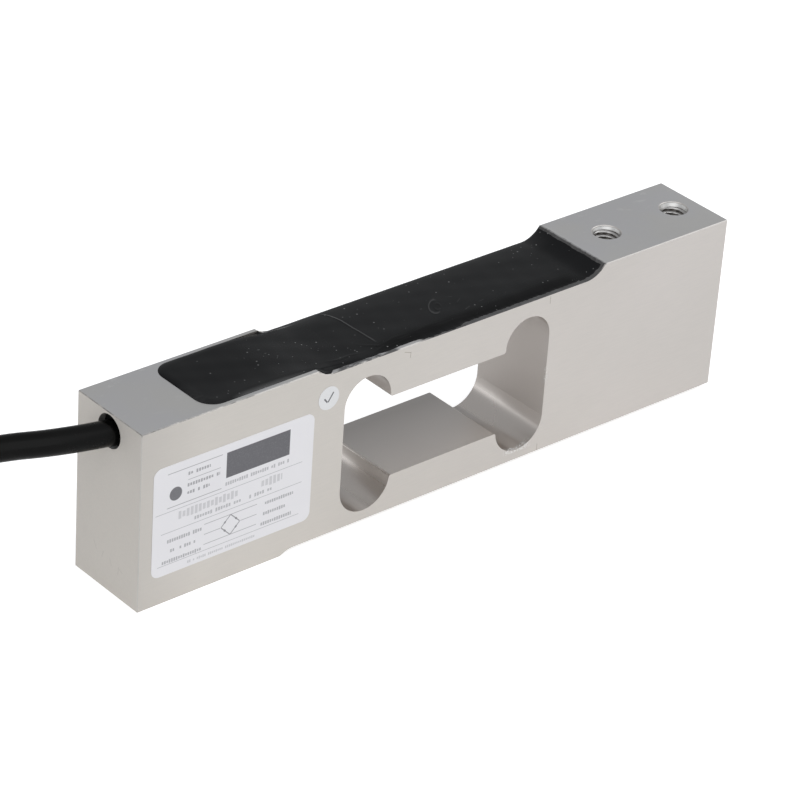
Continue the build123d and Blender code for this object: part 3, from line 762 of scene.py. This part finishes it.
def compound_finish():
    """Satin black compound: faint grey clouds, grey hazes of painted sheen, small light specks,
    a painted highlight on the seam line and ring mark, light strokes, and a glossier band along
    the coat's front, where it rolls down, darkened there with painted shade."""
    material, skin, place = new_material("black_compound", 0.33, specular=0.12)
    grain = grain_of(place, 90.0, 1500.0)
    x, y, _ = split(place)
    specks, dust = compound_specks(place, x, y)
    wander = less(noise(place, 500.0, 2.0), 0.5)
    # Painted highlights on the seam ridge and ring mark, and painted sheen, with light strokes, all
    # blended in as grey below.
    painted_light_and_strokes = painted_seam_and_ring_highlights(x, y, wander)
    painted_light_and_strokes = most(painted_light_and_strokes, product(painted_compound_sheen(x, y, grain), 0.22))
    level = upright(x, y)
    patchy = spread(wander, -0.08, 0.05, 0.2, 1.0)
    for middle_x, middle_y, length, turn in compound_strokes:
        stroke = bar_mask(level, middle_x, middle_y, length, stroke_width, turn)
        painted_light_and_strokes = most(painted_light_and_strokes, product(stroke, patchy, 0.10))
    # Along the coat's front the colour is darkened as painted shade where the coat rolls down; the
    # band is glossier there too.
    band = product(between_mm(y, -9.0, -6.0, 0.8), between_mm(x, -17, 34, 2))
    body = blend(grain["Broad"], (0.0060, 0.0063, 0.0068), (0.0092, 0.0095, 0.0101))
    on_fill = spread_mm(x, -22, -27, 0.0, 0.7)
    body = blend(on_fill, body, (0.0028, 0.0031, 0.0036))
    body = blend(product(band, 0.9), body, (0.0008, 0.0008, 0.0009))
    body = blend(painted_light_and_strokes, body, (0.30, 0.30, 0.30))
    body = blend(product(specks, 0.75), body, (0.36, 0.36, 0.36))
    body = blend(product(dust, 0.25), body, (0.25, 0.25, 0.25))
    feed(skin["Base Color"], body)
    rough = spread(grain["Broad"], 0.3, 0.7, 0.27, 0.36)
    on_step = product(between_mm(x, -40, -25, 3), 0.08)
    rough = less(rough, most(product(band, 0.17), on_step))
    feed(skin["Roughness"], rough)
    relief = add(product(grain["Fine"], 0.10), product(specks, 0.8))
    past_roll = most(less(roll_start * MM, y), 0.0)
    along_roll = between_mm(x, -17, 40, 5)
    roll = product(past_roll, past_roll, along_roll, roll_growth / MM**2)
    relief = less(relief, roll)
    feed(skin["Normal"], bumped(relief, 0.03 * MM, 0.6))
    return material


# Milled aluminium, in millimetres
smear_level = 37.1
bore_height = 35.0
bore_radius = 3.5
scratch_width = 0.14
mark_width = 0.25

# Middle x and z, length and turn of scratches on the front face
front_scratches = [
    (-11.3, 36.1, 1.7, -0.34),
    (-10.5, 35.3, 1.3, 1.5),
    (25.9, 36.2, 1.7, 1.57),
    (25.9, 1.9, 1.7, 1.57),
]

# Middle y and z, length and turn of handling marks on the cable end
end_marks = [
    (3.6, 8.2, 1.8, 1.1),
    (1.2, 7.4, 1.6, 1.9),
    (-1.3, 6.9, 1.7, 1.2),
    (-3.8, 6.2, 1.9, 1.7),
    (-4.6, 6.5, 1.2, 0.4),
]


def level_top_colour(place, y):
    """The level tops' metal: warm and cool clouds, and pale smudges, more towards the rear."""
    cloud = spread(noise(place, 70.0, 2.0), 0.40, 0.60)
    metal = blend(cloud, (0.668, 0.658, 0.643), (0.660, 0.654, 0.658))
    smudge = noise(stretched(place, (0.6, 1.0, 1.0)), 520.0, 3.0, 0.6)
    smudge = spread(smudge, 0.60, 0.72)
    smudge = product(smudge, spread_mm(y, 0.0, 9.0, 0.20, 1.0), 0.45)
    return blend(smudge, metal, (0.86, 0.855, 0.84))


def smear_mask(place, x, y, z, up, streaks):
    """Smear of compound on the beam's lips and at the ramp's end, on metal that looks up: patchy on
    the front lip towards the cable end, and even elsewhere."""
    on_top = product(spread(up, 0.35, 0.55), spread_mm(z, smear_level, smear_level + 0.1))
    ragged = product(less(noise(place, 900.0, 3.0), 0.5), 1.2 * MM)
    ramp_end = add(x, maths("MINIMUM", ragged, 0.0))
    along = product(spread_mm(x, -31.6, -31.4), spread_mm(x, 40.28, 40.40, 1.0, 0.0))
    bare = between_mm(x, -13.6, -7.8, 0.5)
    patchy = product(spread(streaks, 0.40, 0.56, 0.10, 0.95), less(1.0, bare))
    even = spread_mm(x, -9, -5, 0.0, 0.97)
    front = product(spread_mm(y, -8.0, -7.9, 1.0, 0.0), most(patchy, even))
    rear = spread_mm(y, 8.0, 8.1)
    lips = product(most(front, rear), along)
    ramp = product(spread_mm(x, 39.0, 39.4), spread_mm(ramp_end, 40.3, 40.95, 1.0, 0.0))
    return product(most(lips, ramp), on_top)


def burr_mask(place, x, y, z):
    """Burrs and bright chips at the foot and on the wall of the load end's lower lobe."""
    foot = product(
        between_mm(x, 17.0, 23.4, 0.8),
        between_mm(z, 2.9, 4.6, 0.2),
        spread_mm(y, -9.4, -8.6, 1.0, 0.0),
    )
    wall = product(
        between_mm(x, 25.9, 27.0, 0.2),
        between_mm(z, 17.2, 20.4, 0.6),
        spread_mm(y, -9.7, -9.4, 1.0, 0.0),
        0.6,
    )
    chips = spread(noise(place, 2200.0, 3.0, 0.7), 0.48, 0.58)
    return product(most(foot, wall), chips)


def inside_masks(x, y, z, up, sideways):
    """Masks of the window's walls, of the curved ones among them, and of the cable's bore."""
    wall = spread(sideways, 0.2, 0.4, 1.0, 0.0)
    inside = product(wall, between_mm(x, -26.8, 26.8, 0.1), between_mm(z, 3.0, 34.3, 0.1))
    curved = product(inside, spread(unsigned(up), 0.96, 0.995, 1.0, 0.0))
    off_axis = distance(y, less(z, bore_height * MM))
    in_bore = spread_mm(off_axis, bore_radius + 0.01, bore_radius + 0.03, 1.0, 0.0)
    in_bore = product(in_bore, spread_mm(x, -70, -69, 1.0, 0.0))
    return inside, curved, in_bore


def broken_edge(way):
    """1 where a face is turned half towards one way, as on a broken edge."""
    return product(spread(way, 0.35, 0.5), spread(way, 0.85, 0.95, 1.0, 0.0))


def nick_mask(place, x, z, edges):
    """Dark nicks along the top edges near the cable end, and a few elsewhere."""
    limit = spread_mm(x, -58, -36, 0.38, 0.54)
    nicked = spread(less(noise(place, 230.0, 5.0, 0.7), limit), 0.0, 0.22)
    nicked = product(nicked, edges, spread_mm(z, 38.5, 38.8))
    return product(nicked, spread_mm(x, 38, 40, 1.0, 0.4))


def with_small_marks(body, place, x, y, z, sideways):
    """A colour with small scratches on the front face, faint handling marks low on the cable end,
    and a few dots."""
    on_front = spread_mm(y, -9.6, -9.5, 1.0, 0.0)
    for middle_x, middle_z, length, turn in front_scratches:
        scratch = bar_mask(place, middle_x, middle_z, length, scratch_width, turn)
        body = blend(product(scratch, on_front, 0.6), body, (0.25, 0.22, 0.16))
    end_on = upright(y, z)
    on_end = spread_mm(x, -74.9, -74.8, 1.0, 0.0)
    for middle_y, middle_z, length, turn in end_marks:
        mark = bar_mask(end_on, middle_y, middle_z, length, mark_width, turn)
        body = blend(product(mark, on_end, 0.16), body, (0.35, 0.33, 0.31))
    dots = speck_mask(place, 260.0, 0.07, 0.10)
    dots = product(dots, spread(sideways, 0.9, 0.95), 0.45)
    return blend(dots, body, (0.22, 0.19, 0.15))


def aluminium_finish():
    """Milled aluminium: a satin metal with faint clouds and tool lines, smoother in the window,
    dull in the bore and on the cable end, with nicked edges, a grey smear of compound on the lips
    of the gauge pocket, burrs at a lobe's edge, small scratches and faint handling marks. Painted
    shade darkens the bore, the broken edges a little, the window's lower flat towards the rear and
    the front face's far left."""
    material, skin, place = new_material("milled_aluminium", 0.42, metallic=1.0)
    x, y, z = split(place)
    facing = material.node_tree.nodes.new("ShaderNodeNewGeometry").outputs["Normal"]
    facing_x, facing_y, up = split(facing)
    sideways = unsigned(facing_y)
    grain = grain_of(place, 22.0, 2600.0)
    lines = noise(stretched(place, (60.0, 900.0, 900.0)), 3.0, 3.0, 0.6)
    warm, cool = (0.685, 0.651, 0.606), (0.690, 0.651, 0.620)
    metal = blend(spread_mm(x, -40, 50), warm, cool)
    clouds = spread(grain["Broad"], 0.35, 0.7, 0.0, 0.35, smooth=True)
    metal = blend(clouds, metal, (0.626, 0.597, 0.563))
    metal = blend(spread(lines, 0.35, 0.65, 0.0, 0.10), metal, (0.50, 0.49, 0.475))

    # The window's walls are smoother and warmer, and its lower flat darkens towards the rear with
    # painted shade and reflection. Painted shade also darkens the bore and, a little, the broken
    # edges, and the front face at its far left.
    inside, curved, in_bore = inside_masks(x, y, z, up, sideways)
    edge = broken_edge(sideways)
    metal = blend(product(inside, 0.75), metal, (0.60, 0.555, 0.520))
    metal = blend(product(in_bore, 0.75), metal, (0.16, 0.155, 0.15))
    metal = blend(product(edge, 0.6), metal, (0.48, 0.47, 0.455))
    shaded_rear_flat, lit_front_flat = (0.455, 0.430, 0.412), (0.775, 0.735, 0.700)
    flat_painted_shade = blend(spread_mm(y, 8.0, -8.5), shaded_rear_flat, lit_front_flat)
    metal = blend(less(inside, curved), metal, flat_painted_shade)
    level_top = product(spread(up, 0.9, 0.97), less(1.0, inside))
    metal = blend(level_top, metal, level_top_colour(place, y))
    shaded = product(spread(facing_y, -0.9, -0.98), spread_mm(x, -60, -74), 0.17)
    metal = blend(shaded, metal, (0.26, 0.25, 0.24))
    nicked = nick_mask(place, x, z, most(edge, broken_edge(unsigned(facing_x))))
    metal = blend(product(nicked, 0.8), metal, (0.12, 0.115, 0.11))

    streaks = noise(stretched(place, (1.0, 3.0, 1.0)), 420.0, 4.0, 0.6)
    smear = smear_mask(place, x, y, z, up, streaks)
    dark_smear, grey_smear = (0.010, 0.010, 0.011), (0.046, 0.046, 0.048)
    tone = blend(spread(streaks, 0.35, 0.65), dark_smear, grey_smear)
    body = blend(product(smear, 0.95), metal, tone)
    body = with_small_marks(body, place, x, y, z, sideways)
    burrs = burr_mask(place, x, y, z)
    feed(skin["Base Color"], blend(product(burrs, 0.9), body, (0.95, 0.95, 0.94)))

    cable_end = spread(facing_x, -0.9, -0.99)
    rough = spread(grain["Broad"], 0.3, 0.7, 0.38, 0.47)
    rough = less(rough, product(curved, 0.14))
    rough = add(rough, product(most(cable_end, in_bore), 0.26))
    feed(skin["Roughness"], add(rough, product(smear, 0.15)))
    dull = most(smear, product(nicked, 0.8), product(in_bore, 0.75), product(cable_end, 0.40))
    feed(skin["Metallic"], spread(dull, 0.0, 1.0, 1.0, 0.15))
    relief = add(product(grain["Fine"], 0.35), product(lines, 0.25))
    relief = add(relief, product(burrs, 9.0))
    feed(skin["Normal"], bumped(relief, 0.006 * MM))
    return material


# Threads of the four M6 holes, in millimetres
thread_pitch = 1.0
thread_root = 3.0
thread_crest = 2.46
cone_slope = 0.50
cone_top = 3.10
mouth_gap = 0.16
thread_columns = 56
rows_per_turn = 12

# Name, hole's x, pad's z, way in along Z, depth and cone's foot
thread_places = [
    ("thread_loading_inner", 50.0, 40.0, -1, 18.0, 0.85),
    ("thread_loading_outer", 69.0, 40.0, -1, 18.0, 1.05),
    ("thread_mounting_outer", -69.0, 0.0, 1, 15.0, 1.0),
    ("thread_mounting_inner", -50.0, 0.0, 1, 15.0, 1.0),
]


def make_thread(name, hole_x, pad_z, inwards, depth, cone_foot, material):
    """The thread in a hole: round the hole and along it, the radius goes from root to crest and
    back as a rounded triangle wave of the depth less the turn. The groove fades in below a smooth
    cone at the mouth. Its back is a plain tube in the hole's wall."""
    columns = thread_columns
    rows = int(depth / thread_pitch * rows_per_turn)
    along = np.linspace(mouth_gap, depth, rows)[:, None]
    angle = np.linspace(0, 2 * pi, columns, endpoint=False)[None, :]
    phase = (along / thread_pitch - inwards * angle / (2 * pi)) % 1.0
    wave = np.clip(1.25 * (1 - np.abs(2 * phase - 1)) - 0.12, 0, 1)
    wave = 1 - (1 - wave) * ease(along, 0.75 * cone_foot, 1.25 * cone_foot)
    radius = thread_root - (thread_root - thread_crest) * wave
    cone = cone_top - cone_slope * along
    # The crest value also rises on the mouth's cone, where the thread's finish paints a highlight.
    crest = wave + 0.8 * (1 - ease(along, 0.7 * cone_foot, 1.1 * cone_foot))
    radius = np.minimum(np.maximum(radius, cone), thread_root - 0.01)
    back = np.full_like(radius, thread_root + 0.04)
    tubes = []
    for r in (radius, back):
        x = hole_x + r * np.cos(angle)
        y = r * np.sin(angle)
        z = np.broadcast_to(pad_z + inwards * along, x.shape)
        tubes.append(np.stack([x, y, z], axis=-1).reshape(-1, 3) * MM)
    count = rows * columns
    flip = inwards > 0
    faces = [
        grid_faces(rows, columns, 0, True, flip),
        grid_faces(rows, columns, count, True, not flip),
    ]
    for row, turned in ((0, flip), (rows - 1, not flip)):
        ring = row * columns + np.arange(columns)
        after = np.roll(ring, -1)
        cap = np.stack([ring, after, after + count, ring + count], axis=-1)
        faces.append(cap[:, ::-1] if turned else cap)
    faces = np.concatenate(faces).tolist()
    piece = new_piece(name, np.concatenate(tubes), faces, material, 35)
    shown = piece.data.attributes.new("crest", "FLOAT", "POINT")
    values = np.concatenate([crest.ravel(), np.zeros(count)])
    shown.data.foreach_set("value", values.astype(np.float32))


def thread_finish():
    """Cut thread, by the piece's own crest value: a painted highlight on the mouth's cone, lighter
    metal on the crests, and painted shade dark in the roots."""
    material, skin, place = new_material("cut_thread", 0.36, metallic=1.0)
    height = material.node_tree.nodes.new("ShaderNodeAttribute")
    height.attribute_name = "crest"
    crest = height.outputs["Fac"]
    grain = grain_of(place, 300.0, 3000.0)
    bright = blend(grain["Broad"], (0.44, 0.43, 0.42), (0.58, 0.57, 0.56))
    on_crest = spread(crest, 0.05, 0.60, smooth=True)
    shaded_thread = blend(on_crest, (0.19, 0.175, 0.165), bright)
    lit_cone = spread(crest, 1.1, 1.7, smooth=True)
    cone = blend(grain["Broad"], (0.50, 0.495, 0.485), (0.78, 0.775, 0.76))
    feed(skin["Base Color"], blend(lit_cone, shaded_thread, cone))
    feed(skin["Normal"], bumped(grain["Fine"], 0.004 * MM))
    return material


# Burr at the foot of the load end's lower lobe, in millimetres and degrees
lobe_x = 20.2
lobe_z = 9.6
lobe_radius = 6.3
burr_start = -113
burr_sweep = 46
burr_rings = 260
burr_sides = 8


def make_burr(name, material):
    """A torn sliver on the lobe's front edge: a thin round wire whose path goes along the lobe's
    circle and swings in and out, up and across by sines, its section a circle that thins to both
    ends."""
    t = np.linspace(0, 1, burr_rings)[:, None]
    turn = np.radians(burr_start + burr_sweep * t)
    lift = 0.13 + 0.10 * np.sin(t * 37) + 0.06 * np.sin(t * 91 + 1)
    radius = lobe_radius - lift
    middle_x = lobe_x + radius * np.cos(turn) + 0.16 * np.sin(t * 61)
    middle_y = -9.62 + 0.20 * np.sin(t * 47 + 2) * np.sin(t * 23)
    middle_z = lobe_z + radius * np.sin(turn)
    middle = np.concatenate([middle_x, middle_y, middle_z], axis=1)
    around = np.linspace(0, 2 * pi, burr_sides, endpoint=False)[None, :]
    thick = (0.02 + 0.07 * np.sin(pi * t) ** 0.5) * (1 + 0.4 * np.sin(t * 120))
    x = np.repeat(middle_x, burr_sides, axis=1)
    y = middle_y + thick * np.cos(around)
    z = middle_z + thick * np.sin(around)
    vertices = np.stack([x, y, z], axis=-1).reshape(-1, 3) * MM
    vertices = np.concatenate([vertices, middle[[0, -1]] * MM])
    faces = grid_faces(burr_rings, burr_sides, 0, True).tolist()
    first_tip = burr_rings * burr_sides
    last_ring = first_tip - burr_sides
    pairs = [(k, (k + 1) % burr_sides) for k in range(burr_sides)]
    faces += [[first_tip, b, a] for a, b in pairs]
    faces += [[first_tip + 1, last_ring + a, last_ring + b] for a, b in pairs]
    new_piece(name, vertices, faces, material, 60)


# Label and sticker: plain generic print. Millimetres, from the label's left end and the floor.
ink = (0.055, 0.055, 0.065)
label_x = label_low.x / MM

# Start x, z, length and height
label_rules = [
    (3.2, 28.45, 12.8, 0.15),
    (8.0, 25.75, 7.6, 0.12),
    (3.2, 21.0, 12.8, 0.15),
    (0.6, 20.15, 34.9, 0.10),
    (2.0, 15.6, 33.6, 0.10),
    (1.4, 8.5, 33.8, 0.10),
    (12.2, 14.35, 12.6, 0.13),
    (12.2, 12.1, 3.9, 0.13),
    (20.9, 12.1, 3.9, 0.13),
    (12.2, 9.85, 12.6, 0.13),
]
label_field = (17.0, 25.7, 15.2, 5.6)

# Middle x, z and radius
label_dot = (5.2, 23.7, 1.45)

# Middle x, z and half width
bridge_sign = (18.5, 12.1, 2.25)

# Start x, z, length, height, pitch and depth of ink
label_entries = [
    (8.0, 27.1, 5.2, 0.85, 0.62, 0.55),
    (7.9, 24.6, 7.6, 0.85, 0.62, 0.55),
    (7.9, 22.9, 5.2, 0.85, 0.62, 0.55),
    (16.9, 21.6, 15.3, 0.85, 0.55, 0.42),
    (6.0, 18.6, 14.2, 1.9, 0.95, 0.26),
    (24.7, 18.6, 6.0, 1.9, 0.95, 0.26),
    (9.8, 16.7, 18.4, 0.85, 0.62, 0.42),
    (3.5, 13.6, 8.2, 0.85, 0.55, 0.48),
    (4.3, 11.35, 6.0, 0.85, 0.55, 0.48),
    (2.4, 9.15, 9.2, 0.85, 0.55, 0.48),
    (26.2, 13.9, 7.4, 0.85, 0.55, 0.48),
    (26.4, 11.6, 5.4, 0.85, 0.55, 0.48),
    (25.9, 9.4, 7.4, 0.85, 0.55, 0.48),
    (8.0, 7.35, 16.6, 0.65, 0.45, 0.30),
]

# Middle x and z from the sticker's middle, length and turn
tick_strokes = [(-0.75, -0.35, 1.25, -0.9), (0.45, 0.12, 2.3, 0.98)]
tick_width = 0.34


def label_bars():
    """The label's rules, its dark field and the bridge sign's four sides with a short thick bar on
    each: middle x and z, length, height, turn and depth of ink."""
    bars = [
        (start + length / 2, z, length, height, 0.0, 0.62)
        for start, z, length, height in label_rules
    ]
    start, z, length, height = label_field
    bars.append((start + length / 2, z, length, height, 0.0, 0.90))
    sign_x, sign_z, half = bridge_sign
    for side_x in (-1, 1):
        for side_z in (-1, 1):
            slope = -side_x * side_z * pi / 4
            middle_x = sign_x + side_x * half / 2
            middle_z = sign_z + side_z * half / 2
            bars.append((middle_x, middle_z, half * 1.38, 0.20, slope, 0.75))
            thick_x, thick_z = middle_x + 0.2 * side_x, middle_z - 0.2 * side_z
            bars.append((thick_x, thick_z, 0.5, 0.42, slope, 0.75))
    return bars


def label_finish():
    """Pale film with generic print in grey ink: rules, a dark field, a dot, lines of plain marks
    and the four-sided bridge sign."""
    material, skin, place = new_material("label_film", 0.34, specular=0.4)
    grain = grain_of(place, 60.0, 3000.0)
    paper = blend(grain["Broad"], (0.765, 0.753, 0.775), (0.825, 0.815, 0.830))
    inked = 0.0
    for middle_x, middle_z, length, height, turn, depth in label_bars():
        mask = bar_mask(place, label_x + middle_x, middle_z, length, height, turn)
        inked = most(inked, product(mask, depth))
    for start, z, length, height, pitch, depth in label_entries:
        mask = use_group(
            marks_group, Vector=place, Start_X=(label_x + start) * MM, Middle_Z=z * MM,
            Length=length * MM, Height=height * MM, Pitch=pitch * MM,
        )["Mask"]
        inked = most(inked, product(mask, depth))
    x, _, z = split(place)
    middle_x, middle_z, radius = label_dot
    reach = distance(less(x, (label_x + middle_x) * MM), less(z, middle_z * MM))
    inked = most(inked, spread_mm(reach, radius - 0.05, radius + 0.05, 0.85, 0.0))
    worn = product(inked, spread(grain["Fine"], 0.25, 0.5, 0.94, 1.0))
    feed(skin["Base Color"], blend(worn, paper, ink))
    feed(skin["Roughness"], spread(grain["Fine"], 0.3, 0.7, 0.30, 0.42))
    feed(skin["Normal"], bumped(grain["Broad"], 0.03 * MM))
    return material


def sticker_finish():
    """Pale round film with a plain tick in grey ink."""
    material, skin, place = new_material("sticker_film", 0.40, specular=0.4)
    grain = grain_of(place, 200.0, 3000.0)
    paper = blend(grain["Broad"], (0.72, 0.72, 0.73), (0.79, 0.79, 0.79))
    middle = (sticker_low + sticker_high) / 2 / MM
    inked = 0.0
    for x, z, length, turn in tick_strokes:
        mask = bar_mask(place, middle.x + x, middle.z + z, length, tick_width, turn)
        inked = most(inked, mask)
    feed(skin["Base Color"], blend(product(inked, 0.85), paper, ink))
    feed(skin["Normal"], bumped(grain["Broad"], 0.03 * MM))
    return material


# Cable, its end and its tie
def jacket_finish():
    """Satin black jacket: faint clouds, uneven gloss over slight dents, a fine grain and a little
    dust."""
    material, skin, place = new_material("cable_jacket", 0.30, specular=0.13)
    grain = grain_of(place, 120.0, 1800.0)
    dust = speck_mask(place, 900.0, 0.2, 0.03)
    body = blend(grain["Broad"], (0.0012, 0.0012, 0.0011), (0.0026, 0.0026, 0.0024))
    body = blend(product(dust, 0.15), body, (0.1, 0.1, 0.1))
    feed(skin["Base Color"], body)
    feed(skin["Roughness"], spread(grain["Broad"], 0.35, 0.65, 0.17, 0.36))
    relief = add(product(grain["Broad"], 14.0), grain["Fine"])
    feed(skin["Normal"], bumped(relief, 0.008 * MM))
    return material


braid_pitch = 9000.0


def braid_finish(name):
    """Tinned copper braid: two sets of slanted waves crossing, as relief and as colour, darker
    between the wires as painted shade.
    """
    material, skin, place = new_material(name, 0.35, metallic=1.0)
    x, y, z = split(place)
    across = add(y, z)
    waves = []
    for way in (1.0, -1.0):
        slanted = add(product(x, braid_pitch), product(across, braid_pitch * way))
        waves.append(maths("SINE", slanted))
    weave = spread(most(*waves), -0.4, 1.0)
    feed(skin["Base Color"], blend(weave, (0.30, 0.28, 0.26), (0.72, 0.70, 0.68)))
    feed(skin["Normal"], bumped(weave, 0.05 * MM))
    return material


tail_strip = 5.0 * MM
board_strip = 1.6 * MM


def core_finish(name, colour, strip_x):
    """Coloured core insulation, with bare stranded copper beyond strip_x."""
    material, skin, place = new_material(name, 0.38)
    x, y, z = split(place)
    grain = grain_of(place, 300.0, 3000.0)
    bare = maths("GREATER_THAN", x, strip_x)
    # The bare copper is darker between its strands, as painted shade.
    strands = maths("SINE", add(product(x, 5000.0), product(add(y, z), 26000.0)))
    copper = blend(spread(strands, -1.0, 1.0), (0.36, 0.17, 0.08), (0.80, 0.45, 0.28))
    darker = tuple(c * 0.85 for c in colour)
    insulation = blend(grain["Broad"], darker, colour)
    feed(skin["Base Color"], blend(bare, insulation, copper))
    feed(skin["Metallic"], bare)
    feed(skin["Normal"], bumped(product(strands, bare), 0.03 * MM))
    return material


def dress(name, material):
    """Gives a CAD node one material, on every slot that it has."""
    mesh = nodes[name].data
    if not mesh.materials:
        mesh.materials.append(material)
    for n in range(len(mesh.materials)):
        mesh.materials[n] = material


aluminium = aluminium_finish()
black_compound = compound_finish()
jacket = jacket_finish()
cable.data.materials.append(jacket)
fill_stations = [(pocket_start, 0.12), (-54, 0.3), (-36, 0.12), (-28, 0.2), (seam, 0)]
coat_stations = [(seam, 0.08), (-14.5, 0.17), (9, 0.35), (34, 0.12), (coat_end, 0)]
make_compound("wiring_compound_fill", "wiring_compound", fill_stations, black_compound)
make_compound("gauge_compound_coat", "gauge_compound", coat_stations, black_compound)
cut_thread = thread_finish()
for thread_place in thread_places:
    make_thread(*thread_place, cut_thread)
make_burr("lobe_edge_burr", aluminium)

dress("beam", aluminium)
dress("cable_bore_seal", black_compound)
dress("rating_label", label_finish())
dress("round_sticker", sticker_finish())
dress("cable_jacket_in_bore", jacket)
dress("cable_tie", plain_finish("tie_nylon", (0.016, 0.016, 0.017), 0.32, fine=900.0))
braid = braid_finish("shield_braid")
dress("cable_shield_braid", braid)
dress("tail_shield_braid", braid)
for colour, paint in core_colours.items():
    for part, strip in (("tail", tail_strip), ("inner", board_strip)):
        core = f"{part}_core_{colour}"
        strip_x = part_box(core)[1].x - strip
        dress(core, core_finish(f"{part}_{colour}", paint, strip_x))

film = plain_finish("gauge_film", (0.50, 0.22, 0.04), 0.30)
foil = plain_finish("gauge_foil", (0.52, 0.46, 0.38), 0.28, metallic=1.0)
for end in ("cable_end", "load_end"):
    for side in ("front", "rear"):
        dress(f"gauge_film_{end}_{side}", film)
        dress(f"gauge_foil_{end}_{side}", foil)
enamel = plain_finish("lead_enamel", (0.32, 0.06, 0.02), 0.25)
for number in range(1, 9):
    dress(f"gauge_lead_{number}", enamel)
dress("wiring_board", plain_finish("board_mask", (0.015, 0.12, 0.04), 0.30, fine=1200.0))
dress("board_copper", plain_finish("board_copper", (0.72, 0.40, 0.24), 0.30, metallic=1.0))
solder = plain_finish("solder", (0.66, 0.66, 0.68), 0.22, metallic=1.0)
for joint in ("cores", "board_leads", "cable_end_gauges", "load_end_gauges"):
    dress(f"solder_at_{joint}", solder)
chip = plain_finish("chip_body", (0.02, 0.02, 0.022), 0.35)
for name in ("zero_balance", "zero_drift", "span_trim", "span_drift"):
    dress(f"{name}_resistor", chip)


# Studio: white floor, soft grey sky that is brighter in front, and two large soft lamps
floor_size = 6.0
floor_gap = 0.02 * MM
floor_albedo = 0.80
floor_lift = 0.20
floor_whitening = 0.62
lamp_target = Vector((0.0, 0.0, 0.02))


def make_floor():
    """A flat floor that the camera and reflections see a little brighter, so that it is white."""
    mesh = bpy.data.meshes.new("floor")
    half = floor_size / 2
    level = cad_box[0][2] - floor_gap
    corners = [(-half, -half), (half, -half), (half, half), (-half, half)]
    mesh.from_pydata([(x, y, level) for x, y in corners], [], [(0, 1, 2, 3)])
    floor = bpy.data.objects.new("floor", mesh)
    bpy.context.scene.collection.objects.link(floor)
    material = bpy.data.materials.new("floor")
    material.use_nodes = True
    tree = material.node_tree
    skin = tree.nodes["Principled BSDF"].inputs
    skin["Base Color"].default_value = (floor_albedo, floor_albedo, floor_albedo, 1.0)
    skin["Roughness"].default_value = 0.9
    skin["Specular IOR Level"].default_value = 0.0
    rays = tree.nodes.new("ShaderNodeLightPath").outputs
    lift = product(rays["Is Glossy Ray"], floor_lift)
    lift = most(lift, product(rays["Is Camera Ray"], floor_whitening))
    skin["Emission Color"].default_value = (1.0, 1.0, 1.0, 1.0)
    feed(skin["Emission Strength"], lift)
    mesh.materials.append(material)


def make_sky():
    """World light: grey that brightens from the rear to the front, with a bright low band behind on
    the left, and white to the camera."""
    world = bpy.data.worlds.new("studio")
    bpy.context.scene.world = world
    world.use_nodes = True
    tree = world.node_tree
    way = tree.nodes.new("ShaderNodeTexCoord").outputs["Generated"]
    x, y, z = split(way)
    level = spread(y, 0.75, -0.6, 0.45, 0.92, smooth=True)
    low = spread(z, 0.36, 0.16, smooth=True)
    low_band = product(low, spread(x, 0.15, -0.35, smooth=True))
    low_band = product(low_band, spread(y, 0.1, 0.4), 0.75)
    seen = tree.nodes.new("ShaderNodeLightPath").outputs["Is Camera Ray"]
    strength = most(add(level, low_band), seen)
    sky = tree.nodes["Background"]
    sky.inputs["Color"].default_value = (0.965, 0.98, 1.0, 1.0)
    feed(sky.inputs["Strength"], strength)


def make_lamp(name, place, size, power):
    """A square soft lamp that points at the beam."""
    data = bpy.data.lights.new(name, "AREA")
    data.size = size
    data.energy = power
    lamp = bpy.data.objects.new(name, data)
    lamp.location = place
    lamp.rotation_euler = (lamp_target - Vector(place)).to_track_quat("-Z", "Y").to_euler()
    bpy.context.scene.collection.objects.link(lamp)


make_floor()
make_sky()
make_lamp("key_lamp", (-0.9, -1.1, 1.3), 2.4, 9.3)
make_lamp("side_lamp", (1.3, -0.6, 1.0), 1.2, 3.5)
